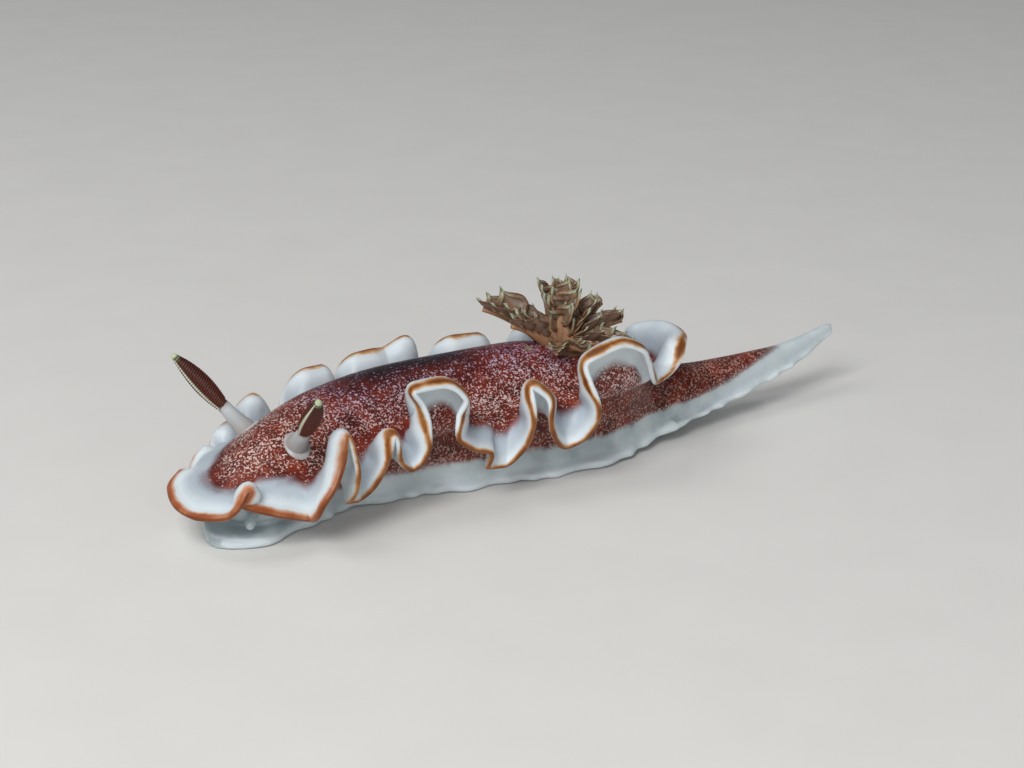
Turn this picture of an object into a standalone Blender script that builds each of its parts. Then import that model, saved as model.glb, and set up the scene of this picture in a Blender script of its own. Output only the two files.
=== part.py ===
"""Caramel nudibranch, life size, crawling: a still model in named pieces.

Sizes are in millimetres and become metres where a mesh is made. +X runs from the head to the tail,
+Z is up, and the origin lies on the sole, under the middle of the back. The animal turns its head to
its left, which is the -Y side, and lifts its tail.
"""
import math

import bmesh
import bpy
import numpy as np

MM = 0.001
GAP = 0.3

# The body's line in plan from the nose to the tip of the tail, with its heights and half-widths.
# back and rim are the mantle's heights on the midline and at its rim, and the others are half-widths.
STATION_FIELDS = ("x", "y", "sole", "back", "rim", "mantle", "side", "foot")
STATIONS = (
    (-18.6, -7.5, 0.0, 3.6, 2.9, 2.4, 1.6, 2.0),   # nose
    (-16.9, -6.1, 0.0, 4.8, 3.2, 2.9, 2.0, 2.6),   # face
    (-15.0, -4.6, 0.0, 5.8, 3.5, 3.3, 2.2, 2.6),   # feelers
    (-11.6, -2.5, 0.0, 6.8, 4.0, 3.4, 2.3, 2.5),   # neck
    (-7.4, -0.9, 0.0, 7.2, 4.3, 3.5, 2.8, 3.3),    # shoulder
    (-2.8, 0.1, 0.0, 7.3, 4.5, 3.6, 3.1, 3.9),     # middle
    (0.9, 0.6, 0.0, 7.4, 4.7, 3.6, 3.1, 4.0),      # hump
    (4.1, 0.9, 0.0, 6.9, 4.9, 3.4, 2.8, 3.9),      # gills
    (7.8, 1.7, 0.3, 5.9, 5.0, 2.9, 2.2, 2.9),      # mantle's end
    (11.0, 2.7, 0.7, 4.3, 4.0, 2.0, 1.7, 2.2),     # root of the tail
    (15.6, 4.3, 1.3, 3.8, 3.2, 1.4, 1.3, 1.7),     # tail
    (20.2, 5.9, 2.1, 3.7, 3.2, 0.8, 0.8, 1.1),     # end of the tail
    (24.8, 7.8, 3.6, 4.3, 4.1, 0.3, 0.25, 0.4),    # tip
)

# The mantle is a shield that lies on the body, rounded off at the nose and behind the gills.
MANTLE_LENGTH = 30.5
NOSE_ROUND = 4.0
REAR_ROUND = 5.5
RIM_THICKNESS = 0.9
RIM_PULL = 0.98
RIM_POINTS = 400

# Its frill leaves the rim at the droop's angle and turns to its fold's swing within the bend, a share
# of its reach. A crest bulges towards the back's side, and its outer part curls over outwards.
# FRILL_STEPS is how finely that turn is added up, and FRILL_TIP how far the edge is rounded out.
FRILL_EDGE = 0.5
FRILL_TIP = 0.2
FRILL_STEPS = 60
FRILL_BEND = 0.45
FRILL_DROOP = -12.0
CREST_CURL = 1.15
CURL_START = 0.7
CREST_BULGE = 0.4

# Folds of the frill, each side from the nose to the rear: how far along the rim it stands, its swing
# up from level in degrees, its reach from the rim, and its lean towards the tail.
LEFT_FOLDS = (
    (0.0, -20, 1.8, 0.0),
    (0.9, -8, 1.8, 0.1),
    (1.7, 52, 2.0, 0.0),
    (2.3, 5, 1.3, -1.1),
    (3.2, -25, 1.5, -0.7),
    (4.5, -60, 2.0, 0.1),
    (5.3, -5, 2.6, -0.8),
    (6.0, 35, 2.8, -0.7),
    (6.6, 76, 4.0, -0.5),
    (7.1, 40, 2.9, -0.6),
    (7.7, -50, 2.2, -0.9),
    (8.7, -50, 2.5, -1.0),
    (9.6, -12, 2.5, -0.6),
    (10.4, 45, 3.1, -0.4),
    (11.0, -5, 2.4, -0.3),
    (11.6, -28, 2.4, 0.1),
    (12.3, -10, 2.6, 0.1),
    (12.9, 40, 2.8, 0.0),
    (13.4, 72, 3.6, -0.6),
    (13.9, 84, 4.7, -1.6),
    (14.9, 82, 4.8, -0.8),
    (15.8, 66, 3.8, -0.2),
    (16.2, 45, 3.0, -1.0),
    (16.7, 8, 2.9, -1.6),
    (17.2, -12, 2.9, -1.1),
    (18.0, -22, 3.0, -0.8),
    (18.5, -52, 3.1, -1.1),
    (19.2, -52, 3.2, -0.7),
    (19.9, -34, 3.0, -0.5),
    (20.5, 3, 3.0, -0.5),
    (21.1, 64, 3.3, -0.7),
    (21.8, 44, 2.9, -0.5),
    (22.3, -8, 2.8, -0.9),
    (22.9, -52, 2.9, -0.2),
    (23.7, -35, 2.9, 0.0),
    (24.4, 2, 3.0, -0.2),
    (24.9, 52, 3.2, -1.0),
    (25.4, 80, 4.0, -1.5),
    (26.6, 84, 4.9, -0.9),
    (27.8, 74, 4.4, -1.2),
    (28.5, 64, 3.4, -1.4),
    (29.1, 42, 2.3, -1.4),
    (29.8, 14, 1.7, -1.1),
    (30.6, 25, 1.9, -0.6),
    (31.6, 66, 3.2, -0.5),
    (33.1, 72, 3.3, 0.0),
)
RIGHT_FOLDS = (
    (0.0, -20, 1.8, 0.0),
    (2.0, -10, 1.8, 0.2),
    (3.0, 0, 1.3, 0.2),
    (3.9, -35, 1.2, 0.0),
    (5.1, 15, 0.9, 0.1),
    (5.7, -40, 1.2, 0.0),
    (6.5, 66, 1.3, 0.5),
    (7.6, -35, 1.8, 0.1),
    (8.6, 60, 2.3, 1.0),
    (9.4, 40, 2.2, 0.4),
    (10.6, -45, 2.5, 0.0),
    (11.6, -30, 2.5, 0.0),
    (12.5, 60, 2.7, 0.8),
    (13.6, 60, 2.6, 0.4),
    (14.8, -42, 2.8, 0.0),
    (15.7, 60, 2.8, 0.6),
    (16.8, 64, 2.8, 0.4),
    (17.7, 56, 2.8, 0.3),
    (18.8, 72, 3.2, 0.5),
    (20.2, -50, 3.0, 0.0),
    (22.0, 62, 2.6, 0.5),
    (23.4, 58, 2.5, 0.3),
    (24.9, -45, 3.0, 0.0),
    (26.4, 42, 2.7, 0.0),
    (28.0, -40, 2.9, 0.0),
    (29.6, 10, 2.6, 0.0),
    (31.0, -15, 2.6, 0.0),
    (32.2, 60, 2.8, 0.2),
    (33.1, 72, 3.3, 0.0),
)

# Lengths of the mantle, cut along the body; of its frill, cut round each side's rim; and of the body.
NOTUM_CUTS = (7.6, 22.4)
FRILL_CUTS = {"left": (0.0, 4.5, 12.2, 23.7, 31.86), "right": (0.0, 5.6, 12.8, 22.6, 34.78)}
FOOT_CUTS = (8.0, 22.6, 31.2)
HEAD_END = 5.0
FLANK_CUTS = (13.0, 22.0, 31.2)
TAIL_CUT = 39.5
NOTUM_SIDES = 13
FRILL_STEP = 0.75
FRILL_ROWS = np.array([0, 0.2, 0.42, 0.7, 1.0])

# The body under the mantle.
FOOT_THICKNESS = 0.8
FOOT_MARGIN = 0.5
MARGIN_LIFT = 0.12
FOOT_WAVE = 0.14
WAVE_LENGTH = 5.3
FOOT_START = -0.6
FOOT_ROUND = 2.2
FLANK_INSET = 0.3
FLANK_BULGE = 0.12
TAIL_DIP = 0.9
TAIL_RISE = 2.6

# The head, with its mouth and the feelers beside it.
HEAD_START = 0.7
HEAD_ROUND = 2.0
HEAD_NOSE = np.array([0.02, 0.12, 0.3, 0.55, 0.8])
HEAD_SQUARE = (0.7, 0.6)
HEAD_SIDES = 16
MOUTH_SIZE = (0.3, 0.55, 0.13)
ORAL_AT = (0.95, 1.45, 1.65)
ORAL_LEAN = (0.8, 0.5, -0.15)
ORAL_LENGTH = 1.2
ORAL_RADIUS = 0.32
ORAL_RINGS = ((0, 0.9), (0.25, 1.0), (0.6, 0.8), (0.9, 0.5), (1.0, 0.2))

# The horns of the head: place on the back, lean forward, outward and up, and sizes along the axis.
FEELER_AT = 4.6
FEELER_OUT = 2.0
FEELER_LEAN = (0.33, 0.63, 0.67)
FEELER_LENGTH = 5.9
FEELER_BEND = 0.25
FEELER_SIDES = 12
FEELER_PLATES = 11
COLLAR_RADIUS = 0.78
STALK = ((0.75, 0.62), (0.95, 0.48), (1.4, 0.43), (1.85, 0.4))
CLUB_START = 2.0
CLUB_END = 5.5
CLUB_RADIUS = 0.5
CLUB_ARC = (0.28, 0.6)
CLUB_GROOVE = 0.8
CLUB_TIP = 0.12

# The gills: each plume's turn from forward to the animal's left, its rise, and its length.
# The collar's profile gives shares of its radius and heights above the back.
GILLS_AT = 24.6
GILL_COLLAR = 1.15
COLLAR_PROFILE = ((0.92, 0.4), (0.7, 0.6), (0.3, 0.5))
PLUMES = (
    (-28, 26, 4.9),
    (12, 30, 3.5),
    (-82, 56, 3.4),
    (-112, 62, 3.5),
    (-142, 58, 3.7),
    (-170, 40, 3.2),
    (165, 22, 3.4),
    (140, -4, 3.8),
    (60, 0, 2.0),
    (100, 0, 1.9),
)
PLUME_RING = 0.6
PLUME_LIFT = 0.3
PLUME_STEM = 0.42
PLUME_TAPER = 0.62
PLUME_ARCH = 34.0
PLUME_STEPS = 7
PLUME_SIDES = 6

# Leaflets stand in pairs over a span of their plume, longest at the peak, and fold up into a trough.
LEAFLETS = 4
LEAFLET_SPAN = (0.22, 0.98)
LEAFLET_PEAK = 0.45
LEAFLET_FALL = 0.55
LEAFLET_SHARE = 0.38
LEAFLET_SPLAY = 0.75
LEAFLET_FOLD = (0.35, 0.75)
LEAFLET_WIDTH = 1.1
LEAFLET_THICK = 0.5
LEAFLET_ROOT = 0.08
LEAFLET_FOOT = 0.55
LEAFLET_WIDEST = 0.42
SHARP_ANGLE = 50


def slopes(at, values):
    """Slope at each knot of a curve that is smooth and never passes its knots' highs and lows."""
    steps = np.diff(values) / np.diff(at)
    before, after = steps[:-1], steps[1:]
    same_way = before * after > 0
    inner = np.where(same_way, 2 * before * after / np.where(same_way, before + after, 1), 0)
    return np.concatenate([steps[:1], inner, steps[-1:]])


def smooth(at, values, where):
    """A smooth curve through the knots (at, values), read at where."""
    at, values, where = (np.asarray(v, float) for v in (at, values, where))
    slope = slopes(at, values)
    i = np.clip(np.searchsorted(at, where, side="right") - 1, 0, len(at) - 2)
    width = at[i + 1] - at[i]
    t = (where - at[i]) / width
    first = (1 + 2 * t) * (1 - t) ** 2
    return (first * values[i] + (1 - first) * values[i + 1]
            + t * (1 - t) ** 2 * width * slope[i] - t**2 * (1 - t) * width * slope[i + 1])


def ease(t):
    """From 0 to 1 with a soft start and end."""
    t = np.clip(t, 0, 1)
    return t * t * (3 - 2 * t)


TABLE = dict(zip(STATION_FIELDS, np.array(STATIONS).T))
ALONG = np.concatenate([[0], np.cumsum(np.hypot(np.diff(TABLE["x"]), np.diff(TABLE["y"])))])
BODY_LENGTH = ALONG[-1]


def read(field, s):
    """A field of the station table, s along the body from the nose."""
    return smooth(ALONG, TABLE[field], s)


def heading(s):
    """The unit vector along the body in plan, towards the tail."""
    step = 0.2
    ahead = np.stack([read(f, s + step) - read(f, s - step) for f in ("x", "y")], -1)
    return ahead / np.linalg.norm(ahead, axis=-1, keepdims=True)


def place(s, out, z):
    """The point at s along the body, out to the animal's left, at height z."""
    s, out, z = np.broadcast_arrays(*(np.asarray(v, float) for v in (s, out, z)))
    along = heading(s)
    return np.stack([read("x", s) + out * along[..., 1], read("y", s) - out * along[..., 0], z], -1)


def mantle_half(s):
    """Half-width of the mantle's shield, with its round front and rear."""
    front = 1 - np.clip(1 - s / NOSE_ROUND, 0, 1) ** 2
    rear = 1 - np.clip((s - MANTLE_LENGTH + REAR_ROUND) / REAR_ROUND, 0, 1) ** 2
    return read("mantle", s) * np.sqrt(np.clip(front * rear, 0, 1))


def rim_side(side):
    """Plan and height of the mantle's rim on one side, from the nose's midline to the rear's."""
    s = MANTLE_LENGTH * (1 - np.cos(np.linspace(0, math.pi, RIM_POINTS))) / 2
    return place(s, side * mantle_half(s), read("rim", s))


def rim_loop():
    """The whole rim, left side back and right side forward, with its length at each point."""
    loop = np.concatenate([rim_side(1)[:-1], rim_side(-1)[::-1]])
    length = np.concatenate([[0], np.cumsum(np.linalg.norm(np.diff(loop[:, :2], axis=0), axis=1))])
    return loop, length


RIM, RIM_AT = rim_loop()
REAR_AT = RIM_AT[RIM_POINTS - 1]
RIM_LENGTH = RIM_AT[-1]


def rim_point(at):
    """Points of the rim, with their outward and forward level directions, at lengths round the loop."""
    at = np.asarray(at, float)
    point = np.stack([np.interp(at, RIM_AT, RIM[:, i], period=RIM_LENGTH) for i in range(3)], -1)
    step = 0.25
    ends = [np.stack([np.interp(at + d, RIM_AT, RIM[:, i], period=RIM_LENGTH) for i in (0, 1)], -1)
            for d in (-step, step)]
    along = ends[1] - ends[0]
    along = along / np.linalg.norm(along, axis=-1, keepdims=True)
    flat = np.zeros(at.shape)
    return point, np.stack([along[..., 1], -along[..., 0], flat], -1), np.stack([*along.T, flat], -1)


def fold_knots():
    """The folds of both sides in one row round the rim, with a measure of the way along the edge."""
    left = [(at * REAR_AT / LEFT_FOLDS[-1][0], swing, reach, lean) for at, swing, reach, lean in LEFT_FOLDS]
    back = RIM_LENGTH - REAR_AT
    right = [(RIM_LENGTH - at * back / RIGHT_FOLDS[-1][0], swing, reach, -lean)
             for at, swing, reach, lean in reversed(RIGHT_FOLDS)]
    knots = np.array(left + right[1:])
    edge = np.column_stack([knots[:, 0] + knots[:, 3], np.radians(knots[:, 1]) * knots[:, 2], knots[:, 2]])
    way = np.concatenate([[0], np.cumsum(np.linalg.norm(np.diff(edge, axis=0), axis=1))])
    return knots, way


KNOTS, WAY = fold_knots()


def frill_normals(sheet):
    """Unit normals of the frill's grid, on the side that continues the back."""
    normal = np.cross(np.gradient(sheet, axis=1), np.gradient(sheet, axis=0))
    return normal / np.linalg.norm(normal, axis=-1, keepdims=True)


def frill_sheet(way, across):
    """Middle surface of the frill: a grid of points, one row for each way, from the rim to the edge."""
    at, swing, reach, lean = (smooth(WAY, KNOTS[:, i], way) for i in range(4))
    root, outward, along = rim_point(at)
    fine = np.linspace(0, 1, FRILL_STEPS + 1)
    bend = ease(0.3 + 0.7 * fine / FRILL_BEND)
    curl = CREST_CURL * ease((fine - CURL_START) / (1 - CURL_START))
    turned = swing[:, None] * np.where(swing[:, None] > 0, 1 - curl, 1)
    angle = np.radians(FRILL_DROOP * (1 - bend) + turned * bend)
    step = reach[:, None] * (fine[1] - fine[0])
    mean = (angle[:, 1:] + angle[:, :-1]) / 2
    start = np.zeros((len(way), 1))
    out = np.concatenate([start, np.cumsum(np.cos(mean) * step, axis=1)], axis=1)
    up = np.concatenate([start, np.cumsum(np.sin(mean) * step, axis=1)], axis=1)
    across = np.asarray(across)
    pick = np.round(across * FRILL_STEPS).astype(int)
    slide = lean[:, None] * across ** 1.3
    sheet = (root[:, None] + outward[:, None] * (GAP + out[:, pick])[..., None]
             + along[:, None] * slide[..., None] + np.array([0, 0, 1]) * up[:, pick][..., None])
    bulge = CREST_BULGE * ease((swing[:, None] + 15) / 60) * np.sin(math.pi * across ** 1.5)
    return sheet + frill_normals(sheet) * bulge[..., None]


# Meshes.

SURFACES = {
    "speckled_back": ((0.23, 0.045, 0.035), 0.35),
    "mantle_edge": ((0.75, 0.62, 0.55), 0.35),
    "flank": ((0.45, 0.16, 0.12), 0.35),
    "foot_white": ((0.62, 0.62, 0.62), 0.3),
    "gill_brown": ((0.25, 0.13, 0.07), 0.35),
    "feeler_maroon": ((0.13, 0.025, 0.02), 0.35),
}


def clear_scene():
    """Remove every object that the file opened with."""
    for obj in list(bpy.data.objects):
        bpy.data.objects.remove(obj, do_unlink=True)


def make_surfaces():
    """One material for each kind of skin."""
    for name, (colour, roughness) in SURFACES.items():
        material = bpy.data.materials.new(name)
        material.use_nodes = True
        shader = material.node_tree.nodes["Principled BSDF"]
        shader.inputs["Base Color"].default_value = (*colour, 1)
        shader.inputs["Roughness"].default_value = roughness
        shader.inputs["Metallic"].default_value = 0


def add_object(name, points, faces, surface):
    """A mesh object from points in millimetres, with its faces turned outwards."""
    mesh = bpy.data.meshes.new(name)
    mesh.from_pydata((np.asarray(points) * MM).tolist(), [], faces)
    mesh.materials.append(bpy.data.materials[surface])
    work = bmesh.new()
    work.from_mesh(mesh)
    bmesh.ops.recalc_face_normals(work, faces=work.faces)
    work.to_mesh(mesh)
    work.free()
    mesh.shade_smooth()
    mesh.set_sharp_from_angle(angle=math.radians(SHARP_ANGLE))
    obj = bpy.data.objects.new(name, mesh)
    bpy.context.scene.collection.objects.link(obj)
    return obj


def loft(name, rings, surface):
    """A closed body through rings of points, with each end closed to its middle."""
    rings = np.asarray(rings, float)
    count, sides = rings.shape[:2]
    points = np.concatenate([rings.reshape(-1, 3), rings[:1].mean(1), rings[-1:].mean(1)])
    faces = []
    for i in range(count - 1):
        for j in range(sides):
            k = (j + 1) % sides
            faces.append((i * sides + j, i * sides + k, (i + 1) * sides + k, (i + 1) * sides + j))
    last = (count - 1) * sides
    for j in range(sides):
        k = (j + 1) % sides
        faces.append((k, j, count * sides))
        faces.append((last + j, last + k, count * sides + 1))
    return add_object(name, points, faces, surface)


def spread(start, end, step):
    """Even places from start to end, no further apart than step."""
    return np.linspace(start, end, max(2, math.ceil((end - start) / step) + 1))


# The mantle's back.

def back_height(s, out):
    """Height of the back at s along the body and out from its midline."""
    low = read("rim", s) + RIM_THICKNESS / 2
    across = np.clip(out / mantle_half(s), -1, 1)
    return low + (read("back", s) - low) * np.cos(math.pi / 2 * across)


def notum_rings(places):
    """Sections of the mantle: a dome over an upright rim and a flat underside."""
    across = np.sin(np.linspace(-1, 1, NOTUM_SIDES) * math.pi / 2)
    rings = []
    for s in places:
        half = mantle_half(s)
        under = read("rim", s) - RIM_THICKNESS / 2
        dome = place(s, across * half, back_height(s, across * half))
        flat = place(s, np.array([RIM_PULL, 0.5, -0.5, -RIM_PULL]) * half, under)
        rings.append(np.concatenate([dome, flat]))
    return rings


def notum():
    """The mantle's back in three lengths, from the nose to behind the gills."""
    tip = 0.08
    nose = NOSE_ROUND * (1 - np.cos(np.linspace(math.acos(1 - tip / NOSE_ROUND), math.pi / 2, 7)))
    turn = np.linspace(math.pi / 2, math.acos(1 - tip / REAR_ROUND), 8)
    rear = MANTLE_LENGTH - REAR_ROUND * (1 - np.cos(turn))
    front_end, middle_end = NOTUM_CUTS
    front = np.concatenate([nose, spread(NOSE_ROUND, front_end - GAP / 2, 0.9)[1:]])
    middle = spread(front_end + GAP / 2, middle_end - GAP / 2, 1.1)
    last = np.concatenate([spread(middle_end + GAP / 2, MANTLE_LENGTH - REAR_ROUND, 1.1), rear[1:]])
    for name, places in (("notum_front", front), ("notum_middle", middle), ("notum_rear", last)):
        loft(name, notum_rings(places), "speckled_back")


# The ruffled margin.

def frill(name, start, end):
    """A length of the ruffled margin between two places round the rim."""
    first, last = (smooth(KNOTS[:, 0], WAY, at) for at in (start + GAP / 2, end - GAP / 2))
    way = spread(first, last, FRILL_STEP)
    sheet = frill_sheet(way, FRILL_ROWS)
    normal = frill_normals(sheet)
    half = np.interp(FRILL_ROWS, [0, 1], [RIM_THICKNESS / 2, FRILL_EDGE / 2])
    normal[:, 0] = (0, 0, 1)
    upper = sheet + normal * half[:, None]
    lower = sheet - normal * half[:, None]
    tip = sheet[:, -1] - sheet[:, -2]
    tip = sheet[:, -1] + tip / np.linalg.norm(tip, axis=-1, keepdims=True) * FRILL_TIP
    rings = np.concatenate([upper, tip[:, None], lower[:, ::-1]], axis=1)
    count, sides = rings.shape[:2]
    rows = len(FRILL_ROWS)
    faces = []
    for i in range(count - 1):
        for j in range(sides):
            k = (j + 1) % sides
            a, b, c, d = i * sides + j, i * sides + k, (i + 1) * sides + k, (i + 1) * sides + j
            faces += [(a, b, c), (a, c, d)] if j < rows else [(a, b, d), (b, c, d)]
    for i, flip in ((0, False), (count - 1, True)):
        base = i * sides
        for j in range(rows - 1):
            quad = (base + j, base + sides - 1 - j, base + sides - 2 - j, base + j + 1)
            faces.append(quad if flip else quad[::-1])
        cap = (base + rows - 1, base + rows, base + rows + 1)
        faces.append(cap if not flip else cap[::-1])
    return add_object(name, rings.reshape(-1, 3), faces, "mantle_edge")


def frills():
    """The ruffled margin in four lengths a side, parted at the nose and the rear."""
    for side in ("left", "right"):
        for i, part in enumerate(("front", "shoulder", "middle", "rear")):
            ends = FRILL_CUTS[side][i:i + 2]
            if side == "left":
                frill(f"frill_left_{part}", *ends)
            else:
                frill(f"frill_right_{part}", RIM_LENGTH - ends[1], RIM_LENGTH - ends[0])


# The body under the mantle.

def foot_top(s):
    """Thickness of the foot's middle, less where the tail grows thin."""
    return np.minimum(FOOT_THICKNESS, 0.45 * (read("back", s) - read("sole", s)))


def foot_half(s, side):
    """Half-width of the foot on one side, with its broad front and wavy margin."""
    front = 1 - np.clip(1 - (s - FOOT_START) / FOOT_ROUND, 0, 1) ** 2
    wave = FOOT_WAVE * np.sin(2 * math.pi * s / WAVE_LENGTH + side)
    return (read("foot", s) + wave) * np.sqrt(np.clip(front, 0, 1))


def foot_rings(places):
    """Sections of the foot: a flat sole, a thick middle and a thin margin that lifts a little."""
    rings = []
    for s in places:
        sole, top = read("sole", s), foot_top(s)
        halves = []
        for side in (1, -1):
            half = foot_half(s, side)
            shelf = min(read("side", s) + 0.2, 0.75 * half)
            lift = MARGIN_LIFT * (1 + math.cos(2 * math.pi * s / WAVE_LENGTH + side)) / 2
            out = np.array([shelf, (shelf + half) / 2, half, half, 0.84 * half])
            height = np.array([top, 0.5 * (top + lift + FOOT_MARGIN), lift + FOOT_MARGIN, lift, 0])
            halves.append(place(s, side * out, sole + height))
        rings.append(np.concatenate([halves[0], halves[1][::-1]]))
    return rings


def feet():
    """The foot in three lengths, ahead of the tail."""
    front = FOOT_START + FOOT_ROUND * (1 - np.cos(np.linspace(0.35, math.pi / 2, 5)))
    first, second, third = FOOT_CUTS
    lengths = {
        "foot_front": np.concatenate([front, spread(front[-1], first - GAP / 2, 1.0)[1:]]),
        "foot_middle": spread(first + GAP / 2, second - GAP / 2, 1.0),
        "foot_rear": spread(second + GAP / 2, third - GAP / 2, 1.0),
    }
    for name, places in lengths.items():
        loft(name, foot_rings(places), "foot_white")


def flank_rings(places):
    """Sections of the body between the foot and the mantle."""
    down = np.linspace(0, 1, 6)
    rings = []
    for s in places:
        top = read("rim", s) - RIM_THICKNESS / 2 - GAP
        low = read("sole", s) + foot_top(s) + GAP
        upper = np.minimum(read("mantle", s) - FLANK_INSET, read("side", s) + 0.4)
        half = upper + (read("side", s) - upper) * down + FLANK_BULGE * np.sin(math.pi * down)
        height = top + (low - top) * down
        rings.append(np.concatenate([place(s, half, height), place(s, -half[::-1], height[::-1])]))
    return rings


def flanks():
    """The sides of the body in three lengths, behind the head."""
    ends = (HEAD_END, *FLANK_CUTS)
    for name, start, end in zip(("flank_neck", "flank_middle", "flank_rear"), ends[:-1], ends[1:]):
        loft(name, flank_rings(spread(start + GAP / 2, end - GAP / 2, 1.2)), "flank")


def tail_back(s):
    """Height of the tail's ridge, which starts under the mantle's rear edge."""
    return read("back", s) - TAIL_DIP * (1 - ease((s - FLANK_CUTS[-1]) / TAIL_RISE))


def tail_rings(places):
    """Sections of the tail: a ridge over a flat foot with a thin margin."""
    arc = np.linspace(0, math.pi, 9)
    rings = []
    for s in places:
        back, sole, foot = tail_back(s), read("sole", s), read("foot", s)
        thin = foot_top(s) * 0.6
        shoulder = sole + thin + 0.1
        half = min(read("side", s), foot - 0.05)
        ridge = place(s, half * np.cos(arc), shoulder + (back - shoulder) * np.sin(arc) ** 0.8)
        under = place(s, np.array([-1, -1, -0.7, 0.7, 1, 1]) * foot,
                      sole + np.array([thin, thin * 0.3, 0, 0, thin * 0.3, thin]))
        rings.append(np.concatenate([ridge, under]))
    return rings


def tail():
    """The tail in two lengths, each from its sole to its ridge."""
    start, middle = FLANK_CUTS[-1], TAIL_CUT
    loft("tail_root", tail_rings(spread(start + GAP / 2, middle - GAP / 2, 1.2)), "flank")
    tip = spread(middle + GAP / 2, BODY_LENGTH, 0.9)
    loft("tail_tip", tail_rings(tip), "flank")


def head():
    """The head between the front of the foot and the mantle, with the line of its mouth."""
    turn = np.linspace(0, 2 * math.pi, HEAD_SIDES, endpoint=False)
    level = np.sign(np.cos(turn)) * np.abs(np.cos(turn)) ** HEAD_SQUARE[0]
    upright = np.sign(np.sin(turn)) * np.abs(np.sin(turn)) ** HEAD_SQUARE[1]
    rings = []
    for s in (*(HEAD_START + HEAD_ROUND * HEAD_NOSE),
              *spread(HEAD_START + HEAD_ROUND, HEAD_END - GAP / 2, 0.8)):
        round_off = math.sqrt(1 - max(0, 1 - (s - HEAD_START) / HEAD_ROUND) ** 2)
        top = read("rim", s) - RIM_THICKNESS / 2 - GAP
        low = read("sole", s) + foot_top(s) + GAP
        tall = (top - low) / 2 * (0.4 + 0.6 * round_off)
        wide = (read("side", s) + 0.1) * round_off
        rings.append(place(s, wide * level, (top + low) / 2 + tall * upright))
    body = loft("head", rings, "foot_white")
    mouth_at = place(HEAD_START, 0, (read("rim", HEAD_START) - RIM_THICKNESS / 2 + foot_top(HEAD_START)) / 2)
    bpy.ops.mesh.primitive_uv_sphere_add(segments=12, ring_count=8, radius=MM, location=mouth_at * MM)
    cutter = bpy.context.object
    cutter.name = "mouth_cutter"
    cutter.scale = MOUTH_SIZE
    ahead = heading(HEAD_START)
    cutter.rotation_euler = (0, 0, math.atan2(ahead[1], ahead[0]))
    cutter.hide_render = True
    cutter.display_type = "WIRE"
    cut = body.modifiers.new("mouth", "BOOLEAN")
    cut.operation = "DIFFERENCE"
    cut.object = cutter


def unit(vector):
    """The vector at length 1."""
    return np.asarray(vector, float) / np.linalg.norm(vector)


def local_frame(s):
    """Forward, leftward and upward unit vectors on the body at s."""
    along = heading(s)
    return np.array([-along[0], -along[1], 0]), np.array([along[1], -along[0], 0]), np.array([0, 0, 1.0])


def tube_rings(line, radii, sides):
    """Round rings along a line of points, each square to the line and turned alike."""
    line = np.asarray(line, float)
    along = np.gradient(line, axis=0)
    across = unit(np.cross(along[0], (0.01, 0.02, 1.0)))
    turn = np.linspace(0, 2 * math.pi, sides, endpoint=False)
    rings = []
    for point, ahead, radius in zip(line, along, radii):
        ahead = unit(ahead)
        across = unit(across - ahead * (across @ ahead))
        other = np.cross(ahead, across)
        rings.append(point + radius * (np.cos(turn)[:, None] * across + np.sin(turn)[:, None] * other))
    return rings


def oral_tentacles():
    """The two short feelers beside the mouth."""
    forward, left, up = local_frame(ORAL_AT[0])
    for name, side in (("oral_tentacle_left", 1), ("oral_tentacle_right", -1)):
        root = place(ORAL_AT[0], side * ORAL_AT[1], ORAL_AT[2])
        reach = unit(forward * ORAL_LEAN[0] + left * side * ORAL_LEAN[1] + up * ORAL_LEAN[2])
        way, share = np.array(ORAL_RINGS).T
        rings = tube_rings(root + np.outer(way, reach) * ORAL_LENGTH, ORAL_RADIUS * share, 10)
        loft(name, rings, "foot_white")


def on_back(s, out, east):
    """Points on the back, a gap above it, at level offsets from the point at s and out."""
    forward, left, _ = local_frame(s)
    at = s - east @ forward
    aside = out + east @ left
    spot = place(s, out, 0) + east
    spot[:, 2] = back_height(at, aside) + GAP * 1.25
    return spot


def rhinophore(name, side):
    """A horn of the head: a pale collar and stalk under a club ringed with thin raised plates."""
    forward, left, up = local_frame(FEELER_AT)
    axis = unit(forward * FEELER_LEAN[0] + left * side * FEELER_LEAN[1] + up * FEELER_LEAN[2])
    across = unit(np.cross(axis, up))
    turn = np.linspace(0, 2 * math.pi, FEELER_SIDES, endpoint=False)
    level = np.outer(np.cos(turn), across) + np.outer(np.sin(turn), unit(np.cross(across, up) * (1, 1, 0)))
    out = side * FEELER_OUT
    root = place(FEELER_AT, out, back_height(FEELER_AT, out))
    rings = [on_back(FEELER_AT, out, level * COLLAR_RADIUS * share) for share in (0.5, 1.0)]
    tilted = np.outer(np.cos(turn), across) + np.outer(np.sin(turn), np.cross(across, axis))
    club = []
    for k in range(2 * FEELER_PLATES + 1):
        share = k / (2 * FEELER_PLATES)
        radius = CLUB_RADIUS * math.sin(math.pi * (CLUB_ARC[0] + CLUB_ARC[1] * share))
        club.append((CLUB_START + (CLUB_END - CLUB_START) * share, radius * (1 if k % 2 else CLUB_GROOVE)))
    for distance, radius in (*STALK, *club, (FEELER_LENGTH, CLUB_TIP)):
        bend = FEELER_BEND * (distance / FEELER_LENGTH) ** 2
        rings.append(root + axis * distance + forward * bend + tilted * radius)
    loft(name, rings, "feeler_maroon")


# The gills.

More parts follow.
